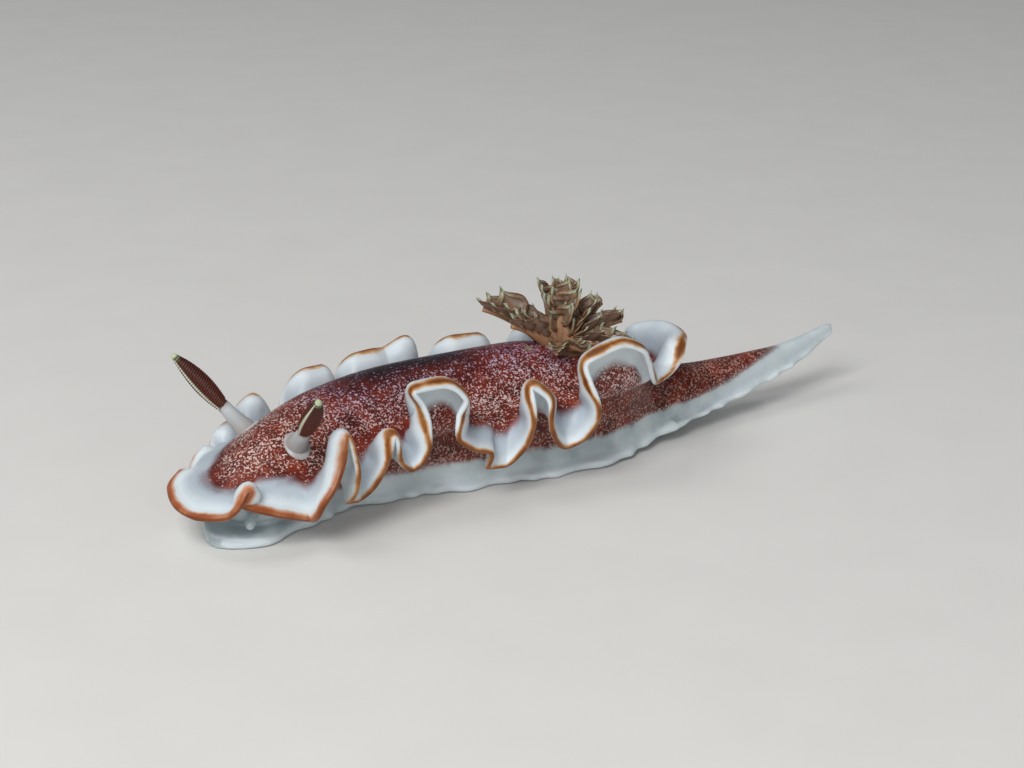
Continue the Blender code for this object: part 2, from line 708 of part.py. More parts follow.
def blade(root, reach, wide, thick):
    """A flat pointed leaflet: its root, its whole reach, and its half-width and half-thickness."""
    side = [wide, thick, -wide, -thick]
    points = [root + LEAFLET_FOOT * v for v in side]
    points += [root + reach * LEAFLET_WIDEST + v * k for v, k in zip(side, (1, 0.8, 1, 0.8))]
    points += [root + reach]
    faces = [(3, 2, 1, 0)]
    faces += [(i, (i + 1) % 4, 4 + (i + 1) % 4, 4 + i) for i in range(4)]
    faces += [(4 + i, 4 + (i + 1) % 4, 8) for i in range(4)]
    return points, faces


def plume_line(level, rise, length, root):
    """Middle line of a plume that leaves its root steeply and arches out towards level."""
    middle = (np.arange(PLUME_STEPS) + 0.5) / PLUME_STEPS
    slope = np.radians(rise + PLUME_ARCH * (0.5 - middle))
    moves = (np.outer(np.cos(slope), level) + np.outer(np.sin(slope), (0, 0, 1))) * length / PLUME_STEPS
    return root + np.concatenate([[[0, 0, 0]], np.cumsum(moves, axis=0)])


def plume(number, turn, rise, length, middle):
    """One plume of the gills: a tapering stem with pointed leaflets in pairs."""
    forward, left, up = local_frame(GILLS_AT)
    level = forward * math.cos(math.radians(turn)) + left * math.sin(math.radians(turn))
    line = plume_line(level, rise, length, middle + level * PLUME_RING)
    radii = PLUME_STEM * (1 - PLUME_TAPER * np.linspace(0, 1, PLUME_STEPS + 1))
    pieces = [loft(f"stem_{number}", tube_rings(line, radii, PLUME_SIDES), "gill_brown")]
    side = np.cross(up, level)
    dice = np.random.default_rng(number)
    for k, t in enumerate(np.linspace(*LEAFLET_SPAN, 2 * LEAFLETS)):
        way = 1 if k % 2 else -1
        i = min(int(t * PLUME_STEPS), PLUME_STEPS - 1)
        ahead = unit(line[i + 1] - line[i])
        spot = line[i] + (line[i + 1] - line[i]) * (t * PLUME_STEPS - i)
        wall = unit(side * way + np.cross(ahead, side) * dice.uniform(*LEAFLET_FOLD))
        size = length * LEAFLET_SHARE * dice.uniform(0.88, 1.12) * (1 - LEAFLET_FALL * abs(t - LEAFLET_PEAK))
        lean = unit(ahead * dice.uniform(0.75, 1.05) + wall * LEAFLET_SPLAY)
        flat = np.cross(ahead, wall)
        wide = np.cross(flat, lean) * LEAFLET_WIDTH / 2
        points, faces = blade(spot - lean * LEAFLET_ROOT, lean * size, wide, flat * LEAFLET_THICK / 2)
        pieces.append(add_object(f"leaflet_{number}_{k}", points, faces, "gill_brown"))
    return pieces


def keep_largest(obj):
    """Keep only the largest closed surface of a mesh object."""
    work = bmesh.new()
    work.from_mesh(obj.data)
    left = set(work.verts)
    islands = []
    while left:
        island, edge = set(), [left.pop()]
        while edge:
            vert = edge.pop()
            island.add(vert)
            near = {link.other_vert(vert) for link in vert.link_edges} & left
            left -= near
            edge += near
        islands.append(island)
    islands.sort(key=len)
    bmesh.ops.delete(work, geom=[v for island in islands[:-1] for v in island], context="VERTS")
    work.to_mesh(obj.data)
    work.free()


def gills():
    """The circlet of gills on its low collar, fused into one body."""
    turn = np.linspace(0, 2 * math.pi, 18, endpoint=False)
    level = np.stack([np.cos(turn), np.sin(turn), 0 * turn], -1)
    rings = [on_back(GILLS_AT, 0, level * GILL_COLLAR * k) for k in (0.5, 1.0)]
    middle = place(GILLS_AT, 0, back_height(GILLS_AT, 0) + GAP)
    rings += [middle + level * GILL_COLLAR * k + np.array([0, 0, h]) for k, h in COLLAR_PROFILE]
    body = loft("gills", rings, "gill_brown")
    pieces = bpy.data.collections.new("plumes")
    for number, (angle, rise, length) in enumerate(PLUMES):
        for piece in plume(number, angle, rise, length, middle + np.array([0, 0, PLUME_LIFT])):
            bpy.context.scene.collection.objects.unlink(piece)
            pieces.objects.link(piece)
    bpy.context.scene.collection.children.link(pieces)
    union = body.modifiers.new("plumes", "BOOLEAN")
    union.operation = "UNION"
    union.operand_type = "COLLECTION"
    union.collection = pieces
    union.solver = "MANIFOLD"
    bpy.context.view_layer.objects.active = body
    bpy.ops.object.modifier_apply(modifier=union.name)
    for piece in list(pieces.objects):
        bpy.data.objects.remove(piece, do_unlink=True)
    bpy.data.collections.remove(pieces)
    keep_largest(body)


def main():
    """Build every piece of the animal."""
    clear_scene()
    make_surfaces()
    notum()
    frills()
    feet()
    flanks()
    tail()
    head()
    oral_tentacles()
    rhinophore("rhinophore_left", 1)
    rhinophore("rhinophore_right", -1)
    gills()


main()
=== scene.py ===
# %% [markdown]
# # A caramel nudibranch, from plain solids to wet skin
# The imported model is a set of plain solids, cut into lengths with fine gaps between them. In life the
# animal is one soft body, so this lesson covers the solids with two fine skins, one for the ruffled
# mantle and one for the body under it, and then adds the horns and the gills. Everything is in metres,
# with the head at -X, the tail at +X and the animal's left side towards -Y.

# %% Load the fixed frame
import math

import bpy
import numpy as np
from mathutils import Matrix, Vector


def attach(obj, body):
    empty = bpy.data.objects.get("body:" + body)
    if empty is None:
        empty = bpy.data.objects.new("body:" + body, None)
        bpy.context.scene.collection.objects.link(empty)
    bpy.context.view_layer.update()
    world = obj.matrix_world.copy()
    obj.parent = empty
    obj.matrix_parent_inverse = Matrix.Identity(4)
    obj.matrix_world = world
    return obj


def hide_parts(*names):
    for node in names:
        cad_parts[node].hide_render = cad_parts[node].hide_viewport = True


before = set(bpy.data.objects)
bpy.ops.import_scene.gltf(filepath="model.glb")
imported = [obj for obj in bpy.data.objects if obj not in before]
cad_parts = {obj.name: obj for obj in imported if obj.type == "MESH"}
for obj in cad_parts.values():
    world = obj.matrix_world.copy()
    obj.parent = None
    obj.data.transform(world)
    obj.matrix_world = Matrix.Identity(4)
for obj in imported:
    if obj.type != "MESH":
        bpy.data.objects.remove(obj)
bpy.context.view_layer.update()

# %% [markdown]
# ## The line of the body
# A slug's body is easiest to describe along its own midline: where the line runs, and how high and how
# wide the body is at each place along it. A table of a dozen stations, joined by smooth curves, gives
# every section. The same table shaped the solids, so the skins will fit them. Sizes are in millimetres
# until a mesh is made.

# %% Stations along the body
MM = 0.001
# The midline's place, the heights of sole, back and rim, and the half-widths of mantle, flanks and foot.
STATION_FIELDS = ("x", "y", "sole", "back", "rim", "mantle", "side", "foot")
STATIONS = (
    (-18.6, -7.5, 0.0, 3.6, 2.9, 2.4, 1.6, 2.0),   # nose
    (-16.9, -6.1, 0.0, 4.8, 3.2, 2.9, 2.0, 2.6),   # face
    (-15.0, -4.6, 0.0, 5.8, 3.5, 3.3, 2.2, 2.6),   # feelers
    (-11.6, -2.5, 0.0, 6.8, 4.0, 3.4, 2.3, 2.5),   # neck
    (-7.4, -0.9, 0.0, 7.2, 4.3, 3.5, 2.8, 3.3),    # shoulder
    (-2.8, 0.1, 0.0, 7.3, 4.5, 3.6, 3.1, 3.9),     # middle
    (0.9, 0.6, 0.0, 7.4, 4.7, 3.6, 3.1, 4.0),      # hump
    (4.1, 0.9, 0.0, 6.9, 4.9, 3.4, 2.8, 3.9),      # gills
    (7.8, 1.7, 0.3, 5.9, 5.0, 2.9, 2.2, 2.9),      # mantle's end
    (11.0, 2.7, 0.7, 4.3, 4.0, 2.0, 1.7, 2.2),     # root of the tail
    (15.6, 4.3, 1.3, 3.8, 3.2, 1.4, 1.3, 1.7),     # tail
    (20.2, 5.9, 2.1, 3.7, 3.2, 0.8, 0.8, 1.1),     # end of the tail
    (24.8, 7.8, 3.6, 4.3, 4.1, 0.3, 0.25, 0.4),    # tip
)
TABLE = dict(zip(STATION_FIELDS, np.array(STATIONS).T))
ALONG = np.concatenate([[0], np.cumsum(np.hypot(np.diff(TABLE["x"]), np.diff(TABLE["y"])))])
BODY_LENGTH = ALONG[-1]


def smooth(at, values, where):
    """A smooth curve through the knots (at, values), read at where, that never overshoots a knot."""
    at, values, where = (np.asarray(v, float) for v in (at, values, where))
    steps = np.diff(values) / np.diff(at)
    before, after = steps[:-1], steps[1:]
    same_way = before * after > 0
    inner = np.where(same_way, 2 * before * after / np.where(same_way, before + after, 1), 0)
    slope = np.concatenate([steps[:1], inner, steps[-1:]])
    i = np.clip(np.searchsorted(at, where, side="right") - 1, 0, len(at) - 2)
    width = at[i + 1] - at[i]
    t = (where - at[i]) / width
    first = (1 + 2 * t) * (1 - t) ** 2
    return (first * values[i] + (1 - first) * values[i + 1]
            + t * (1 - t) ** 2 * width * slope[i] - t**2 * (1 - t) * width * slope[i + 1])


def ease(t):
    """From 0 to 1 with a soft start and end."""
    t = np.clip(t, 0, 1)
    return t * t * (3 - 2 * t)


def read(field, s):
    """A field of the station table, s along the body from the nose."""
    return smooth(ALONG, TABLE[field], s)


def heading(s):
    """The unit vector along the body in plan, towards the tail."""
    step = 0.2
    ahead = np.stack([read(f, s + step) - read(f, s - step) for f in ("x", "y")], -1)
    return ahead / np.linalg.norm(ahead, axis=-1, keepdims=True)


def place(s, out, z):
    """The point at s along the body, out to the animal's left, at height z."""
    s, out, z = np.broadcast_arrays(*(np.asarray(v, float) for v in (s, out, z)))
    along = heading(s)
    return np.stack([read("x", s) + out * along[..., 1], read("y", s) - out * along[..., 0], z], -1)


print("body line", round(BODY_LENGTH, 1), "mm long")

# %% [markdown]
# ## Shaping a grid's points one by one
# Folds as deep as these can't be pushed and pulled out of a sphere without tearing the mesh. A flat grid
# is the better start: each of its lines becomes a line that runs round or across the body, and the
# vertices are moved to their places as a sculptor would, only worked out in code. Where two borders of
# the grid meet, they are welded, so the skin ends up closed.

# %% Modelling helpers
def pick(obj):
    """Select one object and nothing else."""
    bpy.ops.object.select_all(action="DESELECT")
    obj.select_set(True)
    bpy.context.view_layer.objects.active = obj


def close_up(obj, fill=False):
    """Weld the borders that meet, fill the ends if asked, and turn the faces outwards."""
    pick(obj)
    bpy.ops.object.mode_set(mode="EDIT")
    bpy.ops.mesh.select_all(action="SELECT")
    bpy.ops.mesh.remove_doubles(threshold=0.000001)
    if fill:
        bpy.ops.mesh.fill_holes(sides=0)
    bpy.ops.mesh.select_all(action="SELECT")
    bpy.ops.mesh.normals_make_consistent(inside=False)
    bpy.ops.object.mode_set(mode="OBJECT")
    bpy.ops.object.shade_smooth()


def shaped_grid(name, points, traits=None, fill=False):
    """A primitive grid pulled to a block of points, columns by rows, with painted values for each trait."""
    columns, rows = points.shape[0] - 1, points.shape[1] - 1
    bpy.ops.object.select_all(action="DESELECT")
    bpy.ops.mesh.primitive_grid_add(x_subdivisions=columns, y_subdivisions=rows, size=1)
    obj = bpy.context.object
    obj.name = name
    flat = np.empty(3 * len(obj.data.vertices))
    obj.data.vertices.foreach_get("co", flat)
    column = np.rint((flat[0::3] + 0.5) * columns).astype(int)
    row = np.rint((flat[1::3] + 0.5) * rows).astype(int)
    obj.data.vertices.foreach_set("co", (points[column, row] * MM).ravel())
    for trait, values in (traits or {}).items():
        layer = obj.data.attributes.new(trait, "FLOAT", "POINT")
        layer.data.foreach_set("value", values[column, row].astype(np.float32))
    close_up(obj, fill)
    return obj


def tube(name, rings, traits=None):
    """A closed tube through rings of points, filled at both ends."""
    rings = np.asarray(rings, float)
    wrapped = np.concatenate([rings, rings[:, :1]], axis=1)
    return shaped_grid(name, wrapped.transpose(1, 0, 2), traits, fill=True)


def finish_with(obj, kind, **settings):
    """Add a modifier and apply it."""
    pick(obj)
    modifier = obj.modifiers.new(kind.lower(), kind)
    for name, value in settings.items():
        setattr(modifier, name, value)
    bpy.ops.object.modifier_apply(modifier=modifier.name)


def place_of(obj):
    """The vertices of a mesh in millimetres."""
    flat = np.empty(3 * len(obj.data.vertices))
    obj.data.vertices.foreach_get("co", flat)
    return flat.reshape(-1, 3) / MM


def put_at(obj, points):
    """Move a mesh's vertices to points in millimetres."""
    obj.data.vertices.foreach_set("co", (points * MM).ravel())
    obj.data.update()


def paint_trait(obj, trait, values):
    """Store one number for each vertex, for the material to read."""
    layer = obj.data.attributes.new(trait, "FLOAT", "POINT")
    layer.data.foreach_set("value", np.asarray(values, np.float32))


# %% [markdown]
# ## The mantle's rim and its folds
# The mantle is a shield that lies over the body. Its rim carries a broad thin frill, thrown into folds.
# Each fold is described at its own place round the rim by the angle that the frill swings up or down,
# its reach, and its lean along the rim. Between those places the values run smoothly.

# %% Rim and folds
MANTLE_LENGTH = 30.5
NOSE_ROUND = 4.0
REAR_ROUND = 5.5
GAP = 0.3
FINE = 60
FRILL_BEND = 0.45
BEND_AT_ROOT = 0.3
FRILL_DROOP = -12.0
CREST_CURL = 1.15
CURL_START = 0.7
CREST_BULGE = 0.4
BULGE_OUT = 1.5
LEAN_OUT = 1.3
# Each fold has its place round the rim, its swing in degrees, its reach and its lean along the rim.
LEFT_FOLDS = (
    (0.0, -20, 1.8, 0.0), (0.9, -8, 1.8, 0.1), (1.7, 52, 2.0, 0.0), (2.3, 5, 1.3, -1.1),
    (3.2, -25, 1.5, -0.7), (4.5, -60, 2.0, 0.1), (5.3, -5, 2.6, -0.8), (6.0, 35, 2.8, -0.7),
    (6.6, 76, 4.0, -0.5), (7.1, 40, 2.9, -0.6), (7.7, -50, 2.2, -0.9), (8.7, -50, 2.5, -1.0),
    (9.6, -12, 2.5, -0.6), (10.4, 45, 3.1, -0.4), (11.0, -5, 2.4, -0.3), (11.6, -28, 2.4, 0.1),
    (12.3, -10, 2.6, 0.1), (12.9, 40, 2.8, 0.0), (13.4, 72, 3.6, -0.6), (13.9, 84, 4.7, -1.6),
    (14.9, 82, 4.8, -0.8), (15.8, 66, 3.8, -0.2), (16.2, 45, 3.0, -1.0), (16.7, 8, 2.9, -1.6),
    (17.2, -12, 2.9, -1.1), (18.0, -22, 3.0, -0.8), (18.5, -52, 3.1, -1.1), (19.2, -52, 3.2, -0.7),
    (19.9, -34, 3.0, -0.5), (20.5, 3, 3.0, -0.5), (21.1, 64, 3.3, -0.7), (21.8, 44, 2.9, -0.5),
    (22.3, -8, 2.8, -0.9), (22.9, -52, 2.9, -0.2), (23.7, -35, 2.9, 0.0), (24.4, 2, 3.0, -0.2),
    (24.9, 52, 3.2, -1.0), (25.4, 80, 4.0, -1.5), (26.6, 84, 4.9, -0.9), (27.8, 74, 4.4, -1.2),
    (28.5, 64, 3.4, -1.4), (29.1, 42, 2.3, -1.4), (29.8, 14, 1.7, -1.1), (30.6, 25, 1.9, -0.6),
    (31.6, 66, 3.2, -0.5), (33.1, 72, 3.3, 0.0),
)
RIGHT_FOLDS = (
    (0.0, -20, 1.8, 0.0), (2.0, -10, 1.8, 0.2), (3.0, 0, 1.3, 0.2), (3.9, -35, 1.2, 0.0),
    (5.1, 15, 0.9, 0.1), (5.7, -40, 1.2, 0.0), (6.5, 66, 1.3, 0.5), (7.6, -35, 1.8, 0.1),
    (8.6, 60, 2.3, 1.0), (9.4, 40, 2.2, 0.4), (10.6, -45, 2.5, 0.0), (11.6, -30, 2.5, 0.0),
    (12.5, 60, 2.7, 0.8), (13.6, 60, 2.6, 0.4), (14.8, -42, 2.8, 0.0), (15.7, 60, 2.8, 0.6),
    (16.8, 64, 2.8, 0.4), (17.7, 56, 2.8, 0.3), (18.8, 72, 3.2, 0.5), (20.2, -50, 3.0, 0.0),
    (22.0, 62, 2.6, 0.5), (23.4, 58, 2.5, 0.3), (24.9, -45, 3.0, 0.0), (26.4, 42, 2.7, 0.0),
    (28.0, -40, 2.9, 0.0), (29.6, 10, 2.6, 0.0), (31.0, -15, 2.6, 0.0), (32.2, 60, 2.8, 0.2),
    (33.1, 72, 3.3, 0.0),
)
RIM_COUNT = 400
RIM_S = MANTLE_LENGTH * (1 - np.cos(np.linspace(0, math.pi, RIM_COUNT))) / 2


def mantle_half(s):
    """Half-width of the mantle's shield, with its round front and rear."""
    front = 1 - np.clip(1 - s / NOSE_ROUND, 0, 1) ** 2
    rear = 1 - np.clip((s - MANTLE_LENGTH + REAR_ROUND) / REAR_ROUND, 0, 1) ** 2
    return read("mantle", s) * np.sqrt(np.clip(front * rear, 0, 1))


def rim_loop():
    """The whole rim, left side back and right side forward, with its length at each point."""
    left, right = (place(RIM_S, side * mantle_half(RIM_S), read("rim", RIM_S)) for side in (1, -1))
    loop = np.concatenate([left[:-1], right[::-1]])
    length = np.concatenate([[0], np.cumsum(np.linalg.norm(np.diff(loop[:, :2], axis=0), axis=1))])
    return loop, length


RIM, RIM_AT = rim_loop()
REAR_AT = RIM_AT[RIM_COUNT - 1]
RIM_LENGTH = RIM_AT[-1]


def rim_point(at):
    """Points of the rim, with their outward and forward level directions, at lengths round the loop."""
    at = np.asarray(at, float)
    point = np.stack([np.interp(at, RIM_AT, RIM[:, i], period=RIM_LENGTH) for i in range(3)], -1)
    step = 0.25
    ends = [np.stack([np.interp(at + d, RIM_AT, RIM[:, i], period=RIM_LENGTH) for i in (0, 1)], -1)
            for d in (-step, step)]
    along = ends[1] - ends[0]
    along = along / np.linalg.norm(along, axis=-1, keepdims=True)
    flat = np.zeros(at.shape)
    return point, np.stack([along[..., 1], -along[..., 0], flat], -1), np.stack([*along.T, flat], -1)


def fold_knots():
    """The folds of both sides in one row round the rim, with a measure of the way along the edge."""
    left = [(at * REAR_AT / LEFT_FOLDS[-1][0], swing, reach, lean) for at, swing, reach, lean in LEFT_FOLDS]
    back = RIM_LENGTH - REAR_AT
    right = [(RIM_LENGTH - at * back / RIGHT_FOLDS[-1][0], swing, reach, -lean)
             for at, swing, reach, lean in reversed(RIGHT_FOLDS)]
    knots = np.array(left + right[1:])
    edge = np.column_stack([knots[:, 0] + knots[:, 3], np.radians(knots[:, 1]) * knots[:, 2], knots[:, 2]])
    way = np.concatenate([[0], np.cumsum(np.linalg.norm(np.diff(edge, axis=0), axis=1))])
    return knots, way


KNOTS, WAY = fold_knots()
REAR_WAY = WAY[len(LEFT_FOLDS) - 1]


def frill_normals(sheet):
    """Unit normals of the frill's grid, on the side that continues the back."""
    normal = np.cross(np.gradient(sheet, axis=1), np.gradient(sheet, axis=0))
    return normal / np.linalg.norm(normal, axis=-1, keepdims=True)


def frill_sheet(way, across):
    """Middle surface of the frill: a grid of points, one column for each way, from the rim to the edge."""
    at, swing, reach, lean = (smooth(WAY, KNOTS[:, i], way) for i in range(4))
    root, outward, along = rim_point(at)
    fine = np.linspace(0, 1, FINE + 1)
    bend = ease(BEND_AT_ROOT + (1 - BEND_AT_ROOT) * fine / FRILL_BEND)
    curl = CREST_CURL * ease((fine - CURL_START) / (1 - CURL_START))
    turned = swing[:, None] * np.where(swing[:, None] > 0, 1 - curl, 1)
    angle = np.radians(FRILL_DROOP * (1 - bend) + turned * bend)
    step = reach[:, None] * (fine[1] - fine[0])
    mean = (angle[:, 1:] + angle[:, :-1]) / 2
    start = np.zeros((len(way), 1))
    out = np.concatenate([start, np.cumsum(np.cos(mean) * step, axis=1)], axis=1)
    up = np.concatenate([start, np.cumsum(np.sin(mean) * step, axis=1)], axis=1)
    across = np.asarray(across)
    row = np.round(across * FINE).astype(int)
    slide = lean[:, None] * across ** LEAN_OUT
    sheet = (root[:, None] + outward[:, None] * (GAP + out[:, row])[..., None]
             + along[:, None] * slide[..., None] + np.array([0, 0, 1]) * up[:, row][..., None])
    bulge = CREST_BULGE * ease((swing[:, None] + 15) / 60) * np.sin(math.pi * across ** BULGE_OUT)
    return sheet + frill_normals(sheet) * bulge[..., None]


print("rim", round(RIM_LENGTH, 1), "mm, edge with its folds about", round(WAY[-1]), "mm")

# %% [markdown]
# ## The mantle's skin
# Each column of the grid starts on the midline of the back, runs out over the rim and the frill, turns
# round the thin edge and comes back underneath. Both sides have the same number of columns, so they
# weld along the midline. A few rounds of averaging soften the crease where the back meets the frill.

# %% Shape of the mantle
SIDE_COLUMNS = 640
MIDLINE_FROM = 0.55 * NOSE_ROUND
MIDLINE_TO = MANTLE_LENGTH - 0.55 * REAR_ROUND
RIM_HALF_THICK = 0.42
EDGE_HALF_THICK = 0.17
THINNING = 1.4
BACK_ROWS = np.linspace(0, 1, 19)
FRILL_ROWS = np.arange(0, FINE + 1, 3) / FINE
EDGE_TURN = np.radians([54, 18, -18, -54])
BELLY_ROWS = np.array([0.97, 0.8, 0.4, 0])
SOFTENED_ROWS = 6
SOFTENINGS = 12


def side_columns():
    """Way along the edge, place along the body, side and midline place of every column."""
    share = np.linspace(0, 1, SIDE_COLUMNS + 1)
    way = np.concatenate([share * REAR_WAY, REAR_WAY + share[1:] * (WAY[-1] - REAR_WAY)])
    at = smooth(WAY, KNOTS[:, 0], way)
    left = np.interp(at, RIM_AT[:RIM_COUNT], RIM_S)
    right = np.interp(at, RIM_AT[RIM_COUNT - 1:], RIM_S[::-1])
    s = np.where(at <= REAR_AT, left, right)
    side = np.where(at <= REAR_AT, 1, -1)
    mean = (s[:SIDE_COLUMNS + 1] + s[::-1][:SIDE_COLUMNS + 1]) / 2 / MANTLE_LENGTH
    half_line = MIDLINE_FROM + (MIDLINE_TO - MIDLINE_FROM) * (0.5 * share + 0.5 * mean)
    return way, s, side, np.concatenate([half_line, half_line[::-1][1:]])


def across_back(s, side, midline, share, lift):
    """Points of the back's dome, or of the flat under it, from the midline (share 0) to the rim (1)."""
    s_here = midline[:, None] + (s - midline)[:, None] * share
    out = (side * mantle_half(s))[:, None] * share
    rim = read("rim", s_here)
    if lift > 0:
        height = rim + lift + (read("back", s_here) - rim - lift) * np.cos(math.pi / 2 * share)
    else:
        height = rim + lift + 0 * out
    return place(s_here, out, height)


EDGE_WAY, COLUMN_S, COLUMN_SIDE, MIDLINE = side_columns()
BACK = across_back(COLUMN_S, COLUMN_SIDE, MIDLINE, BACK_ROWS, RIM_HALF_THICK)


def mantle_points():
    """Every point of the mantle's skin, column by column: back, frill, round edge, underside, belly."""
    sheet = frill_sheet(EDGE_WAY, FRILL_ROWS)
    normal = frill_normals(sheet)
    half = RIM_HALF_THICK + (EDGE_HALF_THICK - RIM_HALF_THICK) * ease(FRILL_ROWS * THINNING)
    normal[:, 0] = (0, 0, 1)
    upper, lower = sheet + normal * half[:, None], sheet - normal * half[:, None]
    tip = sheet[:, -1] - sheet[:, -2]
    tip /= np.linalg.norm(tip, axis=-1, keepdims=True)
    edge = sheet[:, -1:] + EDGE_HALF_THICK * (np.cos(EDGE_TURN)[:, None] * tip[:, None]
                                              + np.sin(EDGE_TURN)[:, None] * normal[:, -1:])
    belly = across_back(COLUMN_S, COLUMN_SIDE, MIDLINE, BELLY_ROWS, -RIM_HALF_THICK)
    top = np.concatenate([BACK, upper], axis=1)
    first, last = len(BACK_ROWS) - SOFTENED_ROWS, len(BACK_ROWS) + SOFTENED_ROWS
    for _ in range(SOFTENINGS):
        top[:, first:last] = (top[:, first - 1:last - 1] + 2 * top[:, first:last]
                              + top[:, first + 1:last + 1]) / 4
    points = np.concatenate([top, edge, lower[:, ::-1], belly], axis=1)
    points[-1] = points[0]
    return points


points = mantle_points()
print("mantle has", points.shape[0], "columns of", points.shape[1], "points")

# %% [markdown]
# ## Values painted on the mantle
# The material needs to know where it is, so each point carries a few numbers: how far it lies from the
# line of colour, whether it is on the underside, and how much it gets of the painted shade along the ridge
# of the back, of its lilac middle, of the spot by the vent and of the head. The line runs on the very edge,
# but on raised folds it lies a little in from it, so that white shows on both sides of it as on the real
# frill. Pairs of lengths are places along the body between which a value fades in or out.

# %% Mantle skin
LINE_INSETS = (0.5, 0.52)
RAISED = 50
INSET_FROM = (1.5, 9.5)
INSET_TO = (34, 28)
BELLY_WIDE = 2
# Painted shade along the ridge of the back: its half-width, and the places where it fades in and out.
RIDGE_SHADE_WIDE = 1.5
RIDGE_SHADE_FROM = (7, 12)
RIDGE_SHADE_TO = (21, 17)
LILAC_WIDE = 2.4
LILAC_FROM = (5, 10)
VENT_SPOT = (22.2, 0.75)
VENT_RADIUS = 0.24
FACE_ENDS = (6.5, 4.5)
FACE_FADE = 3.5
REAR_THIN = 0.9
REAR_FROM = (27, 29)


def fade(values, start, end):
    """From 0 at start to 1 at end, softly."""
    return ease((values - start) / (end - start))


def mantle_traits(points):
    """The painted values; the one for the head falls below 0 at the rear, where the line grows thin."""
    reach, swing = (smooth(WAY, KNOTS[:, i], EDGE_WAY)[:, None] for i in (2, 1))
    s = COLUMN_S[:, None]
    on_back = reach + GAP + np.linalg.norm(BACK - BACK[:, -1:], axis=-1)
    on_frill = reach * (1 - FRILL_ROWS) + EDGE_HALF_THICK * math.pi / 2
    on_edge = EDGE_HALF_THICK * EDGE_TURN + 0 * reach
    on_belly = -reach - BELLY_WIDE * (1 - BELLY_ROWS)
    from_edge = np.concatenate([on_back, on_frill, on_edge, -on_frill[:, ::-1], on_belly], axis=1)
    raised = ease(swing / RAISED) * fade(s, *INSET_FROM) * fade(s, *INSET_TO)
    line = np.where(COLUMN_SIDE > 0, *LINE_INSETS)[:, None] * raised
    counts = (len(BACK_ROWS) + len(FRILL_ROWS), len(EDGE_TURN), len(FRILL_ROWS) + len(BELLY_ROWS))
    share = np.concatenate([BACK_ROWS, np.ones(points.shape[1] - len(BACK_ROWS))])
    s_here = MIDLINE[:, None] + (s - MIDLINE[:, None]) * share
    spine = mantle_half(s) * share
    to_vent = np.linalg.norm(points[..., :2] - place(*VENT_SPOT, 0)[:2], axis=-1)
    face_end = np.where(COLUMN_SIDE > 0, *FACE_ENDS)[:, None]
    return {
        "edge_mm": abs(from_edge - line),
        "under": np.repeat([0, 0.5, 1], counts)[None] + 0 * from_edge,
        # ridge: how much painted shade darkens the back along its midline.
        "ridge": np.exp(-(spine / RIDGE_SHADE_WIDE) ** 2) * fade(s_here, *RIDGE_SHADE_FROM) * fade(s_here, *RIDGE_SHADE_TO),
        "lilac": np.exp(-(spine / LILAC_WIDE) ** 2) * fade(s_here, *LILAC_FROM),
        "spot": np.exp(-(to_vent / VENT_RADIUS) ** 4) * (share < 1),
        "face": fade(s_here, face_end, face_end - FACE_FADE) - REAR_THIN * fade(s_here, *REAR_FROM),
    }


mantle = shaped_grid("mantle_skin", points, mantle_traits(points))
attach(mantle, "root")
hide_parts(*[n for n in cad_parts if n.startswith(("notum", "frill"))])
print("mantle skin has", len(mantle.data.polygons), "faces")

# %% [markdown]
# ## The body's skin
# Under the mantle are the head, the flanks, the flat foot and the tail. In life they flow into each
# other, so each is lofted a little into its neighbour, all are joined, and a voxel remesh turns them
# into one closed skin. A few rounds of smoothing then soften the creases where they met.

# %% Foot, flanks, tail and head
FOOT_THICKNESS = 0.8
FOOT_MARGIN = 0.42
MARGIN_LIFT = 0.12
SOLE_SHARE = 0.84
FOOT_WAVE = 0.14
WAVE_LENGTH = 5.3
SCALLOP = 0.13
SCALLOP_LENGTH = 2.1
SCALLOP_DRIFT = 1.5
SHELF = 0.75
FOOT_START = -0.6
FOOT_ROUND = 2.2
FLANK_INSET = 0.3
FLANK_BULGE = 0.12
FLANK_FLARE = 0.45
STEP = 0.3
LENGTHS_END = 31.6
TAIL_START = 31.2
TAIL_DIP = 0.9
TAIL_RISE = 2.6
TAIL_TIP = BODY_LENGTH - 0.02
HEAD_START = 0.7
HEAD_ROUND = 2.0
HEAD_END = 5.6
ORAL_AT = (0.95, 1.45, 1.65)
ORAL_LEAN = (0.8, 0.5, -0.15)
ORAL_LENGTH = 1.2
ORAL_RADIUS = 0.32


def foot_top(s):
    """Thickness of the foot's middle, less where the tail grows thin."""
    return np.minimum(FOOT_THICKNESS, 0.45 * (read("back", s) - read("sole", s)))


def foot_half(s, side):
    """Half-width of the foot on one side, with its broad front and wavy margin."""
    front = 1 - np.clip(1 - (s - FOOT_START) / FOOT_ROUND, 0, 1) ** 2
    wave = FOOT_WAVE * np.sin(2 * math.pi * s / WAVE_LENGTH + side)
    return (read("foot", s) + wave) * np.sqrt(np.clip(front, 0, 1))


def scallop(s, side):
    """How far the small scallops of the foot's margin stand out at s."""
    uneven = SCALLOP_DRIFT * np.sin(0.9 * s)
    return SCALLOP * np.sin(2 * math.pi * s / SCALLOP_LENGTH + side + uneven) * ease((s - 2) / 3)


